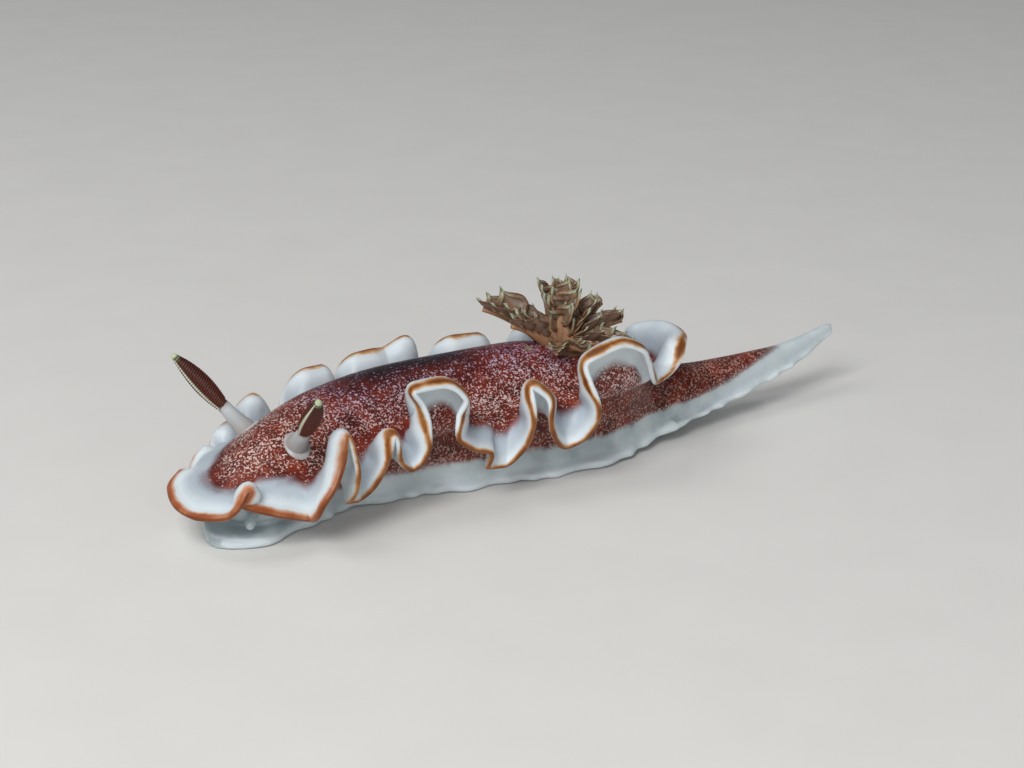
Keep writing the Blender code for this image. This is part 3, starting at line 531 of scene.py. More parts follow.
def foot_section(s):
    """A section of the foot: flat sole, thick middle, thin lifted margin."""
    sole, top = read("sole", s), foot_top(s)
    halves = []
    for side in (1, -1):
        half = foot_half(s, side) + scallop(s, side)
        shelf = min(read("side", s) + 0.2, SHELF * half)
        lift = MARGIN_LIFT * (1 + math.cos(2 * math.pi * s / WAVE_LENGTH + side)) / 2
        lip, edge = lift + FOOT_MARGIN, half - 0.05
        out = np.array([0.4 * shelf, shelf, (shelf + half) / 2, edge, half, edge, SOLE_SHARE * half])
        height = np.array([top, top, 0.5 * (top + lip), lip, lift + FOOT_MARGIN / 2, lift, 0])
        halves.append(place(s, side * out, sole + height))
    return np.concatenate([halves[0], halves[1][::-1]])


def flank_section(s):
    """A section of the flanks, sunk into the mantle above and into the foot below."""
    down = np.linspace(0, 1, 9)
    narrowing = 1 - ease((LENGTHS_END - s) / 4.5)
    top = read("rim", s) - 0.1 - 0.9 * narrowing
    low = read("sole", s) + 0.4 * foot_top(s)
    upper = min(read("mantle", s) - FLANK_INSET, read("side", s) + 0.4)
    upper += (0.45 * read("side", s) - upper) * narrowing
    half = (upper + (read("side", s) - upper) * down + FLANK_BULGE * np.sin(math.pi * down)
            + FLANK_FLARE * ease((down - 0.55) / 0.4) * ease((LENGTHS_END - s) / 4))
    half = np.minimum(half, 0.93 * foot_half(s, 1))
    height = top + (low - top) * down
    return np.concatenate([place(s, half, height), place(s, -half[::-1], height[::-1])])


def tail_section(s):
    """A section of the tail: a ridge over a flat foot with a thin margin."""
    arc = np.linspace(0, math.pi, 15)
    back = read("back", s) - TAIL_DIP * (1 - ease((s - TAIL_START) / TAIL_RISE))
    sole, foot = read("sole", s), read("foot", s)
    thin = foot_top(s) * 0.6
    shoulder = sole + thin
    half = min(read("side", s), foot - 0.05)
    ridge = place(s, half * np.cos(arc), shoulder + (back - shoulder) * np.sin(arc) ** 0.8)
    share = min(1, foot / 1.5)
    right, left = foot + share * scallop(s, -1), foot + share * scallop(s, 1)
    under = place(s, np.array([-right, -right, -0.7 * foot, 0.7 * foot, left, left]),
                  sole + np.array([thin, thin * 0.3, 0, 0, thin * 0.3, thin]))
    return np.concatenate([ridge, under])


def head_section(s):
    """A section of the head, which rounds off towards the mouth."""
    turn = np.linspace(0, 2 * math.pi, 28, endpoint=False)
    round_off = math.sqrt(1 - max(0, 1 - (s - HEAD_START) / HEAD_ROUND) ** 2)
    top = read("rim", s) - 0.55
    low = read("sole", s) + foot_top(s) + 0.12
    tall = (top - low) / 2 * (0.4 + 0.6 * round_off)
    wide = (read("side", s) + 0.1) * round_off
    across = wide * np.sign(np.cos(turn)) * np.abs(np.cos(turn)) ** 0.7
    up = tall * np.sign(np.sin(turn)) * np.abs(np.sin(turn)) ** 0.6
    return place(s, across, (top + low) / 2 + up)


def unit(vector):
    """The vector at length 1."""
    return np.asarray(vector, float) / np.linalg.norm(vector)


def local_frame(s):
    """Forward, leftward and upward unit vectors on the body at s."""
    along = heading(s)
    return np.array([-along[0], -along[1], 0]), np.array([along[1], -along[0], 0]), np.array([0, 0, 1.0])


def round_rings(line, radii, sides):
    """Round rings along a line of points, each square to the line and turned alike."""
    line = np.asarray(line, float)
    along = np.gradient(line, axis=0)
    across = unit(np.cross(along[0], (0.01, 0.02, 1.0)))
    turn = np.linspace(0, 2 * math.pi, sides, endpoint=False)
    rings = []
    for point, ahead, radius in zip(line, along, radii):
        ahead = unit(ahead)
        across = unit(across - ahead * (across @ ahead))
        other = np.cross(ahead, across)
        rings.append(point + radius * (np.cos(turn)[:, None] * across + np.sin(turn)[:, None] * other))
    return rings


def oral_tentacle(side):
    """A short feeler beside the mouth."""
    forward, left, up = local_frame(ORAL_AT[0])
    root = place(ORAL_AT[0], side * ORAL_AT[1], ORAL_AT[2])
    reach = unit(forward * ORAL_LEAN[0] + left * side * ORAL_LEAN[1] + up * ORAL_LEAN[2])
    way = np.array([-0.9, 0, 0.3, 0.55, 0.75, 0.88, 0.95])
    radii = ORAL_RADIUS * np.array([1.3, 1.15, 1.1, 1.05, 0.92, 0.65, 0.25])
    return tube("feeler", round_rings(root + np.outer(way, reach) * ORAL_LENGTH, radii, 14))


foot_front = FOOT_START + FOOT_ROUND * (1 - np.cos(np.linspace(0.12, math.pi / 2, 12)))
head_front = HEAD_START + HEAD_ROUND * (1 - np.cos(np.linspace(0.15, math.pi / 2, 10)))
foot_at = [*foot_front, *np.arange(foot_front[-1] + STEP, LENGTHS_END, STEP)]
flanks_at = np.arange(HEAD_END - 1.0, LENGTHS_END, STEP)
tail_at = [*np.arange(LENGTHS_END - 1, BODY_LENGTH - 0.2, STEP), TAIL_TIP]
head_at = [*head_front, *np.arange(head_front[-1] + STEP, HEAD_END, STEP)]
lengths = [
    tube("foot", [foot_section(s) for s in foot_at]),
    tube("flanks", [flank_section(s) for s in flanks_at]),
    tube("tail", [tail_section(s) for s in tail_at]),
    tube("head", [head_section(s) for s in head_at]),
    oral_tentacle(1),
    oral_tentacle(-1),
]
print("body lengths made:", len(lengths))

# %% Join and remesh
VOXEL = 0.13
pick(lengths[0])
for piece in lengths:
    piece.select_set(True)
bpy.ops.object.join()
body = bpy.context.object
body.name = "body_skin"
finish_with(body, "REMESH", mode="VOXEL", voxel_size=VOXEL * MM)
finish_with(body, "SMOOTH", factor=0.6, iterations=7)
bpy.ops.object.shade_smooth()
print("body skin has", len(body.data.polygons), "faces")

# %% [markdown]
# ## The mouth and the lip of the foot
# The mouth is a short slit on the round front of the head, and the front edge of the foot is split into
# an upper and a lower lip by a shallow groove. Both are pressed in after the remesh, which would have
# filled anything finer than a voxel.

# %% Mouth and lip
MOUTH_WIDTH = 0.55
MOUTH_TALL = 0.16
MOUTH_DEEP = 0.22
LIP_DEEP = 0.16
LIP_HEIGHT = 0.42


def along_body(points):
    """Place along the body and distance out to the left, for points in millimetres."""
    line = np.linspace(-1.5, BODY_LENGTH + 0.5, 800)
    s = np.interp(points[:, 0], read("x", line), line)
    for _ in range(4):
        offset = points[:, :2] - np.stack([read("x", s), read("y", s)], -1)
        s = np.clip(s + (offset * heading(s)).sum(-1), -1.5, BODY_LENGTH + 0.5)
    along = heading(s)
    out = offset[:, 0] * along[:, 1] - offset[:, 1] * along[:, 0]
    return s, out


spots = place_of(body)
s_at, out_at = along_body(spots)
forward, _, _ = local_frame(HEAD_START)
mouth_z = (read("rim", HEAD_START) - 0.45 + foot_top(HEAD_START)) / 2 + 0.1
near_mouth = np.exp(-(out_at / MOUTH_WIDTH) ** 4 - ((spots[:, 2] - mouth_z) / MOUTH_TALL) ** 2)
near_mouth *= (s_at < HEAD_START + 0.9) & (spots[:, 2] > 1.0)
near_lip = np.exp(-((spots[:, 2] - LIP_HEIGHT) / 0.13) ** 2) * ease((FOOT_START + 2.0 - s_at) / 1.2)
press = MOUTH_DEEP * near_mouth + LIP_DEEP * near_lip * (spots[:, 2] < 0.85)
spots = spots - press[:, None] * forward
put_at(body, spots)
print("mouth pressed", round(float(press.max()), 2), "mm deep at", np.round(mouth_z, 2), "mm high")

# %% Painted values of the body's skin
# Along the body, the share of the flank's height that is white.
WHITE_LINE = ((0, 1.4), (4, 0.7), (7, 0.38), (29, 0.38), (34, 0.42), (36.3, 0.52), (38.7, 0.7),
              (40.3, 0.87), (41.7, 1.0), (43, 1.35), (47, 1.6))
PALE_SOFTNESS = 0.3
MARGIN_STARTS = 0.84
MARGIN_SOFTNESS = 0.14
TAIL_MARGIN = 0.6
rim_at = np.where(s_at < MANTLE_LENGTH, read("rim", s_at), read("back", s_at))
share_up = (spots[:, 2] - read("sole", s_at)) / np.maximum(rim_at - read("sole", s_at), 0.3)
white_line = np.interp(s_at, *np.array(WHITE_LINE).T)
share_out = np.abs(out_at) / np.maximum(foot_half(s_at, 0), 0.2)
pale = ease((white_line - share_up) / PALE_SOFTNESS + 0.5)
margin = ease((share_out - MARGIN_STARTS) / MARGIN_SOFTNESS) * ease((0.5 - share_up) / 0.2)
margin = np.maximum(margin, TAIL_MARGIN * pale * ease((s_at - 31) / 7))
paint_trait(body, "pale", pale)
paint_trait(body, "margin", margin)
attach(body, "root")
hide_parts(*[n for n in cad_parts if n.startswith(("foot", "flank", "tail", "head", "oral"))])
print("white below", round(float(white_line.min()), 2), "of the flank's height")

# %% [markdown]
# ## The horns
# The two horns smell the water. Each rises from a low cuff of skin on a pale stalk, and its club carries
# about two dozen thin plates stacked at a slant, joined in front by a smooth pale line. A tube whose
# rings swell and narrow for each plate gives them, and the rings lean with the plates.

# %% Horns
FEELER_AT = 4.6
FEELER_OUT = 2.0
FEELER_LEAN = {1: (0.33, 0.63, 0.67), -1: (0.33, 0.56, 0.74)}
FEELER_LENGTH = 5.9
FEELER_BEND = 0.25
CLUB_START = 2.0
CLUB_END = 5.6
CLUB_RADIUS = 0.57
CLUB_ARC = (0.25, 0.62)
PLATES = 26
PLATE_DEPTH = 0.08
PLATE_SLANT = 0.32
STALK_RINGS = ((0.0, 0.66), (0.35, 0.57), (0.7, 0.49), (1.1, 0.44), (1.5, 0.4), (1.85, 0.38))
HORN_SIDES = 40
CUFF_SIDES = 48
# Shares of a cuff's radius and height, from its sunk outside over its rounded top to its sunk inside.
CUFF_PROFILE = ((1.25, -0.35), (1.16, 0.0), (1.08, 0.55), (0.99, 0.92), (0.9, 1.0), (0.82, 0.88),
                (0.78, 0.4), (0.72, -0.35))
HORN_CUFF = (0.63, 0.08)


def back_height(s, out):
    """Height of the back at s along the body and out from its midline."""
    low = read("rim", s) + RIM_HALF_THICK
    across = np.clip(out / np.maximum(mantle_half(s), 0.1), -1, 1)
    return low + (read("back", s) - low) * np.cos(math.pi / 2 * across)


def on_back(s, out, east, lift):
    """Points on the back, lifted a little, at level offsets from the point at s and out."""
    forward, left, _ = local_frame(s)
    spot = place(s, out, 0) + east
    spot[:, 2] = back_height(s - east @ forward, out + east @ left) + lift
    return spot


def club_radius(distance):
    """Radius of the club without its plates."""
    share = np.clip((distance - CLUB_START) / (CLUB_END - CLUB_START), 0, 1)
    return CLUB_RADIUS * np.sin(math.pi * (CLUB_ARC[0] + CLUB_ARC[1] * share))


def horn(name, side):
    """A stalk and a plated club, with painted values for height, plates and the front line."""
    forward, left, up = local_frame(FEELER_AT)
    lean = FEELER_LEAN[side]
    axis = unit(forward * lean[0] + left * side * lean[1] + up * lean[2])
    front = unit(forward - axis * (forward @ axis))
    across = np.cross(axis, front)
    turn = np.linspace(0, 2 * math.pi, HORN_SIDES, endpoint=False)
    root = place(FEELER_AT, side * FEELER_OUT, back_height(FEELER_AT, side * FEELER_OUT))
    club = CLUB_START + (CLUB_END - CLUB_START) * np.arange(4 * PLATES + 1) / (4 * PLATES)
    distance = np.array([-0.3, *(d for d, _ in STALK_RINGS), *club, 5.7, 5.8, 5.87, FEELER_LENGTH])
    base = np.array([0.66, *(r for _, r in STALK_RINGS), *club_radius(club), 0.2, 0.15, 0.09, 0.03])
    in_club = (distance >= CLUB_START) & (distance <= CLUB_END)
    phase = (distance - CLUB_START) / (CLUB_END - CLUB_START) * PLATES
    dent = np.where(in_club, PLATE_DEPTH * (1 - np.abs(np.sin(math.pi * phase))) ** 1.5, 0)
    rings, groove, line = [], [], []
    for d, radius, cut, inside in zip(distance, base, dent, in_club):
        plain = np.exp(-(np.arctan2(np.sin(turn), np.cos(turn)) / 0.2) ** 2)
        reach = radius * (1 - cut / CLUB_RADIUS * (1 - plain)) * (1 + 0.1 * plain * inside)
        slant = -PLATE_SLANT * radius * np.cos(turn) * inside * min(1, (CLUB_END - d) / 0.8 + 0.2)
        bend = FEELER_BEND * (max(d, 0) / FEELER_LENGTH) ** 2
        ring = (root + axis * d + forward * bend + np.outer(reach * np.cos(turn), front)
                + np.outer(reach * np.sin(turn), across) + np.outer(slant, axis))
        rings.append(ring)
        groove.append(cut / PLATE_DEPTH + 0 * turn)
        line.append(plain * inside)
    climb = np.repeat(distance[:, None] / FEELER_LENGTH, HORN_SIDES, axis=1)
    wrap = [np.concatenate([v, v[:, :1]], axis=1).T for v in (climb, np.array(groove), np.array(line))]
    return tube(name, rings, dict(zip(("climb", "groove", "front_line"), wrap)))


def cuff(name, s, out, radius, tall):
    """A low soft ring of skin round the foot of a horn or of the gills."""
    turn = np.linspace(0, 2 * math.pi, CUFF_SIDES, endpoint=False)
    level = np.stack([np.cos(turn), np.sin(turn), 0 * turn], -1)
    return tube(name, [on_back(s, out, level * radius * r, h * tall) for r, h in CUFF_PROFILE])


horns = []
for side, word in ((1, "left"), (-1, "right")):
    stalk = horn(f"horn_{word}", side)
    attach(stalk, "root")
    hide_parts(f"rhinophore_{word}")
    sheath = cuff(f"horn_cuff_{word}", FEELER_AT, side * FEELER_OUT, *HORN_CUFF)
    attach(sheath, "root")
    horns += [stalk, sheath]
print("horns have", sum(len(h.data.polygons) for h in horns), "faces")

# %% [markdown]
# ## The gills
# The gills are a circlet of leafy plumes round the vent. Each plume is a stout arching stem with broad
# pointed leaflets in pairs, which overlap into a trough that is open towards the middle and end in free
# tips like flames. One leaflet is modelled from a grid, hollowed a little and given its thin edge, and
# copied along every stem at its own size and lean, so the gills stay light enough to repeat.

# %% One leaflet
LEAFLET_COLUMNS = 14
LEAFLET_ACROSS = np.array([-1, -0.86, -0.5, 0, 0.5, 0.86, 1])
LEAFLET_HOLLOW = 0.55
LEAFLET_CURL = 0.5
LEAFLET_THICK = 0.2


def leaflet_block():
    """A leaflet of length 1 and half-width 1, with its painted place along and in from the edge."""
    t = np.linspace(0, 1, LEAFLET_COLUMNS + 1)
    outline = (0.5 + 0.5 * ease(t / 0.3)) * (1 - 0.9 * ease((t - 0.42) / 0.52)) * (1 - t ** 6)
    outline[-1] = 0.02
    across = np.abs(LEAFLET_ACROSS)[None]
    wide = outline[:, None] * LEAFLET_ACROSS
    hollow = LEAFLET_HOLLOW * outline[:, None] * across ** 2 + LEAFLET_CURL * (t[:, None] ** 3 + 0 * across)
    points = np.stack([t[:, None] + 0.05 * across, wide, hollow], -1)
    inner = (1 - across) + 0 * wide
    return points, {"inner": inner, "tip": t[:, None] + 0 * wide}


block, leaf_traits = leaflet_block()
leaflet = shaped_grid("leaflet", block, leaf_traits)
finish_with(leaflet, "SOLIDIFY", thickness=LEAFLET_THICK * MM, offset=0)
print("one leaflet has", len(leaflet.data.polygons), "faces")

# %% Plumes
GILLS_AT = 24.6
GILL_CUFF = (1.15, 0.3)
# Each plume has its turn from the head in degrees, its rise in degrees and its length.
PLUMES = (
    (-28, 28, 4.6), (12, 32, 3.5), (-82, 66, 3.5), (-112, 76, 3.6), (-142, 68, 3.6),
    (-170, 42, 3.2), (165, 24, 3.4), (140, 4, 3.5), (60, 8, 2.1), (100, 8, 2.0),
)
PLUME_RING = 0.7
PLUME_LIFT = -0.02
PLUME_STEM = 0.5
PLUME_ARCH = 34.0
STEM_STEPS = 28
LEAFLET_PAIRS = 4
LEAFLET_SHARE = 0.46
LEAFLET_WIDE = 0.4
LEAFLET_FOLD = (0.35, 0.8)
LEAFLET_SPREAD = (0.85, 1.15)
LEAFLETS_FROM = 0.16
LEAFLETS_TO = 0.8
STEM_TAPER = 0.72
STEM_SIDES = 10
STEM_INNER = 1.4


def plume_line(level, rise, length, root):
    """Middle line of a plume that leaves its root steeply and arches out towards level."""
    middle = (np.arange(STEM_STEPS) + 0.5) / STEM_STEPS
    slope = np.radians(rise + PLUME_ARCH * (0.5 - middle))
    moves = (np.outer(np.cos(slope), level) + np.outer(np.sin(slope), (0, 0, 1))) * length / STEM_STEPS
    return root + np.concatenate([[[0, 0, 0]], np.cumsum(moves, axis=0)])


def set_leaflet(ahead, side, face, spot, size, wide):
    """A copy of the leaflet with its own mesh, its length along ahead and its width along side."""
    copy = leaflet.copy()
    copy.data = leaflet.data.copy()
    bpy.context.scene.collection.objects.link(copy)
    turn = Matrix(np.stack([ahead * size, side * wide, face * wide], axis=1).tolist()).to_4x4()
    copy.data.transform(Matrix.Translation(Vector(spot * MM)) @ turn)
    return copy


def plume(turn, rise, length, middle, dice):
    """One plume: its stem and its pairs of leaflets."""
    forward, left, up = local_frame(GILLS_AT)
    level = forward * math.cos(math.radians(turn)) + left * math.sin(math.radians(turn))
    line = plume_line(level, rise, length, middle + level * PLUME_RING)
    radii = PLUME_STEM * (1 - STEM_TAPER * np.linspace(0, 1, STEM_STEPS + 1)) * min(1, 0.55 + length / 9)
    values = np.ones((STEM_SIDES + 1, STEM_STEPS + 1))
    stem_values = {"inner": STEM_INNER * values, "tip": 0 * values}
    pieces = [tube("stem", round_rings(line, radii, STEM_SIDES), stem_values)]
    side = np.cross(up, level)
    for k, t in enumerate(np.linspace(LEAFLETS_FROM, LEAFLETS_TO, 2 * LEAFLET_PAIRS)):
        way = 1 if k % 2 else -1
        i = min(int(t * STEM_STEPS), STEM_STEPS - 1)
        ahead = unit(line[i + 1] - line[i])
        wall = unit(side * way + np.cross(ahead, side) * dice.uniform(*LEAFLET_FOLD))
        size = length * LEAFLET_SHARE * (1 - 0.6 * abs(t - 0.45)) * dice.uniform(*LEAFLET_SPREAD)
        reach = unit(ahead * dice.uniform(*LEAFLET_SPREAD) + wall * (1.05 - 0.6 * t))
        face = unit(np.cross(ahead, wall)) * way
        wide = size * LEAFLET_WIDE * dice.uniform(*LEAFLET_SPREAD)
        pieces.append(set_leaflet(reach, np.cross(face, reach), face, line[i], size, wide))
    return pieces


dice = np.random.default_rng(7)
middle = place(GILLS_AT, 0, back_height(GILLS_AT, 0) + PLUME_LIFT)
plumes = [piece for turn, rise, length in PLUMES for piece in plume(turn, rise, length, middle, dice)]
bpy.data.objects.remove(leaflet, do_unlink=True)
pick(plumes[0])
for piece in plumes:
    piece.select_set(True)
bpy.ops.object.join()
gills = bpy.context.object
gills.name = "gill_plumes"
bpy.ops.object.shade_smooth()
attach(gills, "root")
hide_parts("gills")
gill_cuff = cuff("gill_cuff", GILLS_AT, 0, *GILL_CUFF)
paint_trait(gill_cuff, "inner", np.ones(len(gill_cuff.data.vertices)))
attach(gill_cuff, "root")
print("gills have", len(gills.data.polygons), "faces in", len(PLUMES), "plumes")

# %% [markdown]
# ## Painting with nodes
# Every finish below is a node tree. Colours are written as the hex values that a painter would pick on
# screen, and one function turns them into the linear values that light is worked out with. All the
# tissues are soft and wet, so one finish serves them: light sinks in a little, red the deepest, and a
# thin film of water lies on top, which the grain of the skin keeps from shining like glass.

# %% Material helpers
TISSUE_IOR = 1.37
WATER_IOR = 1.33
LIGHT_DEPTH = 0.5 * MM
COLOUR_DEPTHS = (1.0, 0.55, 0.4)
FILM_ROUGHNESS = 0.12
GRAIN_DEEP = 0.03 * MM
GRAIN_STRENGTH = 0.35
SOFT = {"interpolation_type": "SMOOTHSTEP"}
# For colours, a Mix node takes its share at socket 0 and its colours at 6 and 7, and gives one at 2.
COLOURS = {"data_type": "RGBA", "give": 2}


def shade(hex_code):
    """A hex colour as linear red, green, blue and alpha."""
    parts = [int(hex_code[i:i + 2], 16) / 255 for i in (0, 2, 4)]
    linear = [c / 12.92 if c <= 0.04045 else ((c + 0.055) / 1.055) ** 2.4 for c in parts]
    return (*linear, 1)


def add(tree, kind, sockets=None, stops=(), give=0, **settings):
    """Add a node with its settings, its inputs' values or links, and its ramp's stops; give an output."""
    node = tree.nodes.new("ShaderNode" + kind)
    for name, value in settings.items():
        setattr(node, name, value)
    for name, value in (sockets or {}).items():
        if isinstance(value, bpy.types.NodeSocket):
            tree.links.new(value, node.inputs[name])
        else:
            node.inputs[name].default_value = value
    if stops:
        elements = node.color_ramp.elements
        elements[0].position, elements[1].position = stops[0][0], stops[-1][0]
        for position, _ in stops[1:-1]:
            elements.new(position)
        for element, (_, hex_code) in zip(elements, stops):
            element.color = shade(hex_code)
    return node.outputs[give]


def new_material(name):
    """A material with its tree and its object coordinates."""
    material = bpy.data.materials.new(name)
    material.use_nodes = True
    return material, material.node_tree, add(material.node_tree, "TexCoord", give="Object")


def per_mm(size):
    """Scale of a pattern whose marks are size millimetres across, on coordinates in metres."""
    return 1 / (size * MM)


def wet_tissue(material, colour, grain, pieces, rough=(0.3, 0.5), depth=0.3, film=0.2, relief=False):
    """Finish soft wet tissue and give it to its pieces: depth of light, film of water, and grain."""
    tree = material.node_tree
    shader = tree.nodes["Principled BSDF"]
    tree.links.new(colour, shader.inputs["Base Color"])
    shine = add(tree, "MapRange", {"Value": grain, "To Min": rough[0], "To Max": rough[1]})
    tree.links.new(shine, shader.inputs["Roughness"])
    if relief:
        bump = add(tree, "Bump", {"Height": grain, "Strength": GRAIN_STRENGTH, "Distance": GRAIN_DEEP})
        tree.links.new(bump, shader.inputs["Normal"])
    evenly = {"IOR": TISSUE_IOR, "Subsurface Weight": depth, "Subsurface Radius": COLOUR_DEPTHS,
              "Subsurface Scale": LIGHT_DEPTH, "Coat Weight": film, "Coat Roughness": FILM_ROUGHNESS,
              "Coat IOR": WATER_IOR}
    for name, value in evenly.items():
        shader.inputs[name].default_value = value
    for piece in pieces:
        piece.data.materials.append(material)
    print(material.name, "has", len(tree.nodes), "nodes, on pieces:", len(pieces))


print("marks of 1 mm have the scale", round(per_mm(1.0)))

# %% [markdown]
# ## Skin of the mantle
# The back is deep red-brown, strewn with fine white to lilac flecks that branch and break. Along its
# ridge the red-brown is darkened with painted shade, and fewer flecks show there. Towards the rim the
# colour fades into a bluish-white band, and the very edge is caramel. The flecks are a fine warped noise
# cut off at a level, and a second, broader noise makes them gather and thin out. Some real ones are finer
# than this, and are drawn as coarse as they need to show. The bands follow the painted distance from the
# line of colour, which a little noise makes uneven. One ramp turns that distance into caramel and white, a
# rusty one takes over at the head, and the underside has a whiter one: its own white, brightened with
# painted light as if lit from the front under the folds.

# %% Flecked skin
FLECK_SIZE = 0.13
CROWD_SIZE = 1.4
CROWDING = 0.045
TONE_SIZE = 1.1


def flecked(tree, coords, more):
    """Red-brown skin and a mask of fine flecks on it, more of them where more is above 0."""
    flecks = add(tree, "TexNoise", {"Vector": coords, "Scale": per_mm(FLECK_SIZE), "Detail": 2.0,
                                    "Roughness": 0.5, "Distortion": 0.6})
    crowd = add(tree, "TexNoise", {"Vector": coords, "Scale": per_mm(CROWD_SIZE), "Detail": 3.0})
    crowd = add(tree, "MapRange", {"Value": crowd, "From Min": 0.3, "From Max": 0.7,
                                   "To Min": -CROWDING, "To Max": CROWDING})
    level = add(tree, "Math", {0: flecks, 1: crowd}, operation="ADD")
    level = add(tree, "Math", {0: level, 1: more}, operation="ADD")
    mask = add(tree, "MapRange", {"Value": level, "From Min": 0.51, "From Max": 0.64}, **SOFT)
    tone = add(tree, "TexNoise", {"Vector": coords, "Scale": per_mm(TONE_SIZE), "Detail": 4.0})
    base = add(tree, "ValToRGB", {"Fac": tone}, stops=[
        (0.3, "420e07"), (0.5, "62190b"), (0.72, "802c14")])
    return base, mask, tone


# %% Mantle material
# Skin of a sea slug, grown as one with the muscle under it: soft, slimy and a little see-through, so the
# folds have no hard shadows and the light gives it small pale glints.
FULL_BAND = 4.0
WIDER_AT_FACE = 0.25
SWAY_SIZE = 1.2
SWAY = 0.1
FLECKLESS = -0.1
GRAIN_SIZE = 0.25
material, tree, coords = new_material("speckled_mantle_skin")
trait = {name: add(tree, "Attribute", give="Fac", attribute_name=name)
         for name in ("edge_mm", "under", "ridge", "lilac", "spot", "face")}
widen = add(tree, "Math", {0: trait["face"], 1: WIDER_AT_FACE, 2: 1.0}, operation="MULTIPLY_ADD")
sway = add(tree, "TexNoise", {"Vector": coords, "Scale": per_mm(SWAY_SIZE), "Detail": 3.0})
sway = add(tree, "MapRange", {"Value": sway, "From Min": 0.3, "From Max": 0.7,
                              "To Min": -SWAY, "To Max": SWAY})
wavy = add(tree, "Math", {0: trait["edge_mm"], 1: sway}, operation="ADD")
band = add(tree, "Math", {0: wavy, 1: FULL_BAND}, operation="DIVIDE")
edge_band = add(tree, "Math", {0: band, 1: widen}, operation="DIVIDE")
fewer = add(tree, "MapRange", {"Value": wavy, "From Min": 2.1, "From Max": 3.4,
                               "To Min": FLECKLESS, "To Max": 0.01})
# Painted shade along the ridge of the back: fewer flecks show there.
fewer = add(tree, "Math", {0: trait["ridge"], 1: FLECKLESS, 2: fewer}, operation="MULTIPLY_ADD")
base, mask, _ = flecked(tree, coords, fewer)
# Painted shade: along the ridge of the back the red-brown is darkened to a near-black purple.
base = add(tree, "Mix", {0: trait["ridge"], 6: base, 7: shade("16040a")}, **COLOURS)
tint = add(tree, "Mix", {0: trait["lilac"], 6: shade("d3b9b0"), 7: shade("a795b4")}, **COLOURS)
back = add(tree, "Mix", {0: mask, 6: base, 7: tint}, **COLOURS)
back = add(tree, "Mix", {0: trait["spot"], 6: back, 7: shade("8f8366")}, **COLOURS)
caramel = add(tree, "ValToRGB", {"Fac": edge_band}, stops=[
    (0.0, "6d3c18"), (0.018, "854e22"), (0.038, "ae7a48"), (0.055, "c8a888"),
    (0.075, "cfd7d9"), (0.12, "d6dfe4"), (0.25, "b9c3ca"), (0.45, "a5afba")
])
rusty = add(tree, "ValToRGB", {"Fac": edge_band}, stops=[
    (0.0, "743112"), (0.03, "8b401c"), (0.065, "a85d33"), (0.09, "c69c84"),
    (0.115, "d2dadb"), (0.17, "d8e2e6"), (0.28, "b9c3ca"), (0.45, "a5afba")
])
border = add(tree, "Mix", {0: trait["face"], 6: caramel, 7: rusty}, **COLOURS)
to_back = add(tree, "MapRange", {"Value": band, "From Min": 0.42, "From Max": 0.62}, **SOFT)
upper = add(tree, "Mix", {0: to_back, 6: border, 7: back}, **COLOURS)
# The underside's white is the frill's own colour, brightened with painted light: it stays whiter than the
# upper white, as if lit from the front under the folds.
below = add(tree, "ValToRGB", {"Fac": edge_band}, stops=[
    (0.0, "6d3c18"), (0.025, "854e22"), (0.05, "b4906c"), (0.07, "c6c8c6"),
    (0.1, "d6dfe4"), (0.35, "d9e1e5"), (0.65, "cfd7da")])
to_under = add(tree, "MapRange", {"Value": band, "From Min": 0.66, "From Max": 0.86}, **SOFT)
lower = add(tree, "Mix", {0: to_under, 6: below, 7: back}, **COLOURS)
colour = add(tree, "Mix", {0: trait["under"], 6: upper, 7: lower}, **COLOURS)
grain = add(tree, "TexNoise", {"Vector": coords, "Scale": per_mm(GRAIN_SIZE), "Detail": 3.0})
wet_tissue(material, colour, grain, [mantle], depth=0.2, relief=True)

# %% [markdown]
# ## Skin of the body
# The flanks repeat the back's red-brown and flecks, then fade into a translucent white foot with a
# brighter wavy margin. The fade follows the painted paleness, which the clouds of the skin break up.

# %% Body material
# Skin of the flanks and the foot, with more water and less colour in it than the mantle: light sinks in
# deeper, so the white looks milky rather than painted.
FLANK_GRAIN = 0.3
BROKEN_UP = 0.7
material, tree, coords = new_material("translucent_body_skin")
pale, margin = (add(tree, "Attribute", give="Fac", attribute_name=name) for name in ("pale", "margin"))
base, mask, tone = flecked(tree, coords, 0.0)
flank = add(tree, "Mix", {0: mask, 6: base, 7: shade("b08c80")}, **COLOURS)
white = add(tree, "ValToRGB", {"Fac": tone}, stops=[
    (0.3, "9eabb0"), (0.5, "b0bbbf"), (0.7, "bfc8ca")])
broken = add(tree, "Math", {0: tone, 1: 0.5}, operation="SUBTRACT")
broken = add(tree, "Math", {0: broken, 1: BROKEN_UP, 2: pale}, operation="MULTIPLY_ADD")
paled = add(tree, "MapRange", {"Value": broken, "From Min": 0.3, "From Max": 0.75}, **SOFT)
colour = add(tree, "Mix", {0: paled, 6: flank, 7: white}, **COLOURS)
colour = add(tree, "Mix", {0: margin, 6: colour, 7: shade("d3dde1")}, **COLOURS)
grain = add(tree, "TexNoise", {"Vector": coords, "Scale": per_mm(FLANK_GRAIN), "Detail": 3.0})
wet_tissue(material, colour, grain, [body], relief=True)
